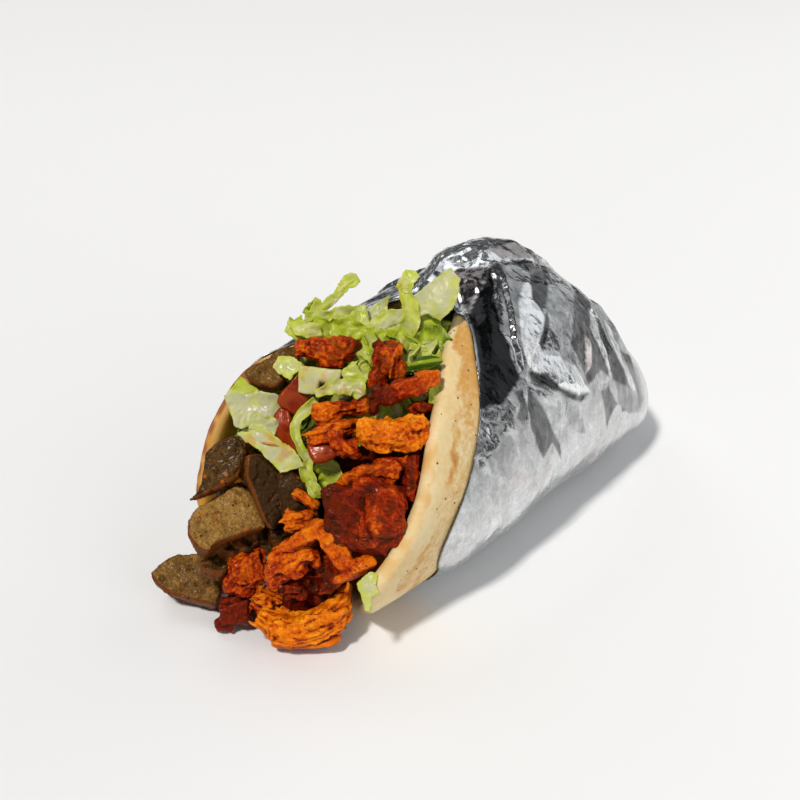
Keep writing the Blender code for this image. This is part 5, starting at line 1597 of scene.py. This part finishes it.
def ropePiece(name, key, material, slot, rough, *replaced):
    # A rounded strip with a rough surface
    bm = bmesh.new()
    node, points = paths[key]
    spec = ropeSpecs[key]
    addRope(bm, points, spec, middleOf(node), mouthAxes())
    mesh, co = skinOf(bm, name, 0.32, 4)
    place = co / mm
    co = raised(mesh, co, rough * (noiseAt(place, 4, 3) + np.abs(noiseAt(place, 1.8, 7))))
    local = seenFrom(coordsOf(mesh), middleOf(node), mouthAxes())
    tone = np.clip(spec.get("tone", 0.3) + 0.08 * noiseAt(place, 4, 8), 0, 1)
    stain = 0.5 * smoothStep(noiseAt(place, 3, 12), 0.25, 0.5)
    setAttributes(mesh, tone=tone, rib=np.zeros(len(place)), stain=stain, across=local,
                  vein=local * np.array((1, 0.2, 1)))
    return addPiece(name, mesh, material, slot, *replaced)


ropePiece("leaf_stalk", "stalk", lettuceMaterial, "lettuce", 0.25, "lettuce_stalk")


smoothSlab = {"grain": 0.1, "pits": 0, "voxel": 0.34}


def slabPiece(name, node, spec, material, slot, tone=0.0):
    mesh, local, facing = slabMesh(node, {**slabBase, **smoothSlab, **spec})[:3]
    place = coordsOf(mesh) / mm
    edge = 1 - smoothStep(facing[:, 2], 0.3, 0.85)
    tone = np.clip(tone + 0.12 * noiseAt(place, 5, 8) + 0.15 * edge, 0, 1)
    rib = 0.35 * np.clip(noiseAt(local * np.array((1, 0.3, 1)), 2.0, 4), 0, 1)
    stain = 0.10 + 0.4 * smoothStep(noiseAt(place, 3, 12), 0.25, 0.5)
    setAttributes(mesh, tone=tone, rib=rib, stain=stain, vein=local * np.array((1, 0.2, 1)),
                  sauced=np.clip(0.4 + 0.6 * noiseAt(place, 5, 5), 0, 1))
    return addPiece(name, mesh, material, slot, node)


slabPiece("leaf_rib", "lettuce_rib", {"deep": 2.6, "bevel": 0.5, "back": 0.95, "coarse": 0.5, "turn": -8},
          lettuceMaterial, "lettuce", 0.02)

heapSpec = {"sink": 2.5, "shreds": 80, "tries": 1200, "long": (9, 18), "wide": (2.0, 4.6), "reach": 75}


def makeHeapCore():
    mesh, co = skinOf(takeNode("lettuce_heap"), "core", 0.9, 3)
    place = co / mm
    fold = np.abs(noiseAt(place * np.array((1, 0.6, 1)), 7.5, 3)) * 3.2
    fold += np.abs(noiseAt(place, 3.2, 5)) * 0.8
    front = smoothStep(-place[:, 1], -30, 10)
    raised(mesh, co, fold - 1.6 - heapSpec["sink"] * front)
    setAttributes(mesh, tone=np.clip(0.8 + 0.4 * noiseAt(place, 5, 8), 0, 1), stain=np.zeros(len(place)),
                  rib=0.3 * np.clip(noiseAt(place, 3, 12), 0, 1), vein=place)
    addPiece("salad_core", mesh, lettuceMaterial, "lettuce", "lettuce_heap")


def makeShreds():
    # Shredded leaves strewn over the open part of the heap
    draw = random.Random(12)
    vertices, faces, owners = [], [], []
    for name, node in nodes.items():
        start = len(vertices)
        vertices += [v.co.copy() for v in node.data.vertices]
        faces += [[start + i for i in p.vertices] for p in node.data.polygons]
        owners += [name] * len(node.data.polygons)
    tree = BVHTree.FromPolygons(vertices, faces)
    low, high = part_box("lettuce_heap")
    reach = heapSpec["reach"] * mm
    bm = bmesh.new()
    made = 0
    for _ in range(heapSpec["tries"]):
        if made == heapSpec["shreds"]:
            break
        aim = Vector([draw.uniform(*span) for span in zip(low, (high.x, low.y + reach, high.z))])
        sight = directionAt(draw.uniform(-30, 70), draw.uniform(15, 80))
        at, normal, index = tree.ray_cast(aim + sight * 0.3, -sight)[:3]
        if at is None or owners[index] != "lettuce_heap":
            continue
        out = (normal + sight * 0.8).normalized()
        side = out.cross(strayWay(draw)).normalized()
        axes = tilted(Matrix((side, out.cross(side), out)).transposed(), draw, 0.3)
        long, wide = draw.uniform(*heapSpec["long"]), draw.uniform(*heapSpec["wide"])
        bow, sway = draw.uniform(-3, 3), draw.uniform(-2.5, 2.5)
        points = [(sway * (k - 2) ** 2 / 4, (k / 4 - 0.5) * long, bow * (1 - (k - 2) ** 2 / 3),
                   wide * (0.35, 0.85, 1.0, 0.9, 0.4)[k] * draw.uniform(0.7, 1.15), draw.uniform(-25, 25))
                  for k in range(5)]
        spec = {"seed": made + 30, "ruffle": draw.uniform(0.3, 1.0), "waves": draw.uniform(1.5, 4),
                "tone": draw.choice((0.12, 0.3, 0.45, 0.62)), "edge": draw.uniform(0.1, 0.3),
                "curl": draw.uniform(-0.3, 0.6), "cells": (10, 20), "rib": draw.choice((0, 0, 0.4))}
        addLeaf(bm, points, spec, at - out * 1.0 * mm, axes)
        made += 1
    addPiece("salad_shreds", thickened(meshFrom(bm, "shreds")), lettuceMaterial, "lettuce")
    print("shreds", made)


makeHeapCore()
makeShreds()
print("lettuce is made")

tomatoLook = {"skin": (0.17, 0.005, 0.001), "flesh": (0.27, 0.022, 0.002), "sauce": (0.28, 0.045, 0.004),
              "glint": (1.0, 0.45, 0.3)}
pepperLook = {"skin": (0.030, 0.085, 0.004), "flesh": (0.26, 0.30, 0.015), "glint": (0.7, 1.0, 0.3)}
carrotLook = {"deep": (0.50, 0.09, 0.006), "pale": (0.72, 0.22, 0.02)}


def makeTomatoMaterial():
    material, tree, shader = newMaterial("sauced_tomato")
    look = tomatoLook
    soft = cloud(tree, objectPlace(tree), 240.0, 4.0, 0.5, 0.6)
    color = mixed(tree, ranged(tree, soft, 0.35, 0.65), look["skin"], look["flesh"])
    sauced = maths(tree, "MULTIPLY", attribute(tree, "sauced"), ranged(tree, soft, 0.3, 0.6))
    fill(tree, shader, {
        "Base Color": mixed(tree, sauced, color, look["sauce"]),
        "Roughness": ranged(tree, soft, 0.3, 0.7, 0.26, 0.48), "Specular IOR Level": 0.3,
        "Specular Tint": look["glint"], "Subsurface Weight": 0.3, "Subsurface Radius": (1.0, 0.2, 0.05),
        "Subsurface Scale": 0.002, "Coat Weight": 0.05, "Coat Roughness": 0.1})
    bumped(tree, shader, soft, 0.5, 0.6)
    return material


def makePepperMaterial():
    material, tree, shader = newMaterial("pepper")
    split = put(tree, "SeparateXYZ", {"Vector": attribute(tree, "across", "Vector")})
    level = maths(tree, "MULTIPLY_ADD", split.outputs["X"], -0.16, split.outputs["Y"])
    wander = cloud(tree, objectPlace(tree), 300.0)
    wave = maths(tree, "MULTIPLY_ADD", wander, 2.0, maths(tree, "MULTIPLY", level, 2.6))
    wave = maths(tree, "SINE", wave)
    color = mixed(tree, ranged(tree, wave, -0.4, 0.7), pepperLook["skin"], pepperLook["flesh"])
    fill(tree, shader, {"Base Color": color, "Roughness": 0.34, "Specular IOR Level": 0.3,
                        "Specular Tint": pepperLook["glint"]})
    bumped(tree, shader, wander, 0.3, 0.4)
    return material


def makeCarrotMaterial():
    material, tree, shader = newMaterial("carrot")
    soft = cloud(tree, objectPlace(tree), 700.0)
    fill(tree, shader, {"Base Color": mixed(tree, soft, carrotLook["deep"], carrotLook["pale"]),
                        "Roughness": 0.35})
    return material


tomatoMaterial = makeTomatoMaterial()
for name, node, spec in (
        ("wedge_1", "tomato_1", {"deep": 4, "bevel": 0.6, "coarse": 1.0, "turn": 12, "grow": 1.12}),
        ("wedge_2", "tomato_2", {"deep": 3.2, "bevel": 0.5, "coarse": 0.9, "turn": -14, "grow": 1.1}),
        ("wedge_3", "tomato_3", {"deep": 5, "bevel": 1.0, "coarse": 0.8, "tip": -10})):
    slabPiece(name, node, spec, tomatoMaterial, "tomato")
pepperMaterial = makePepperMaterial()
ropePiece("pepper_slice", "pepper", pepperMaterial, "pepper", 0.15, "pepper_strip")
ropePiece("pepper_ring", "ring", pepperMaterial, "pepper", 0.05)
ropePiece("carrot_shred", "carrot", makeCarrotMaterial(), "tomato", 0.05)
print("tomato and pepper are made")
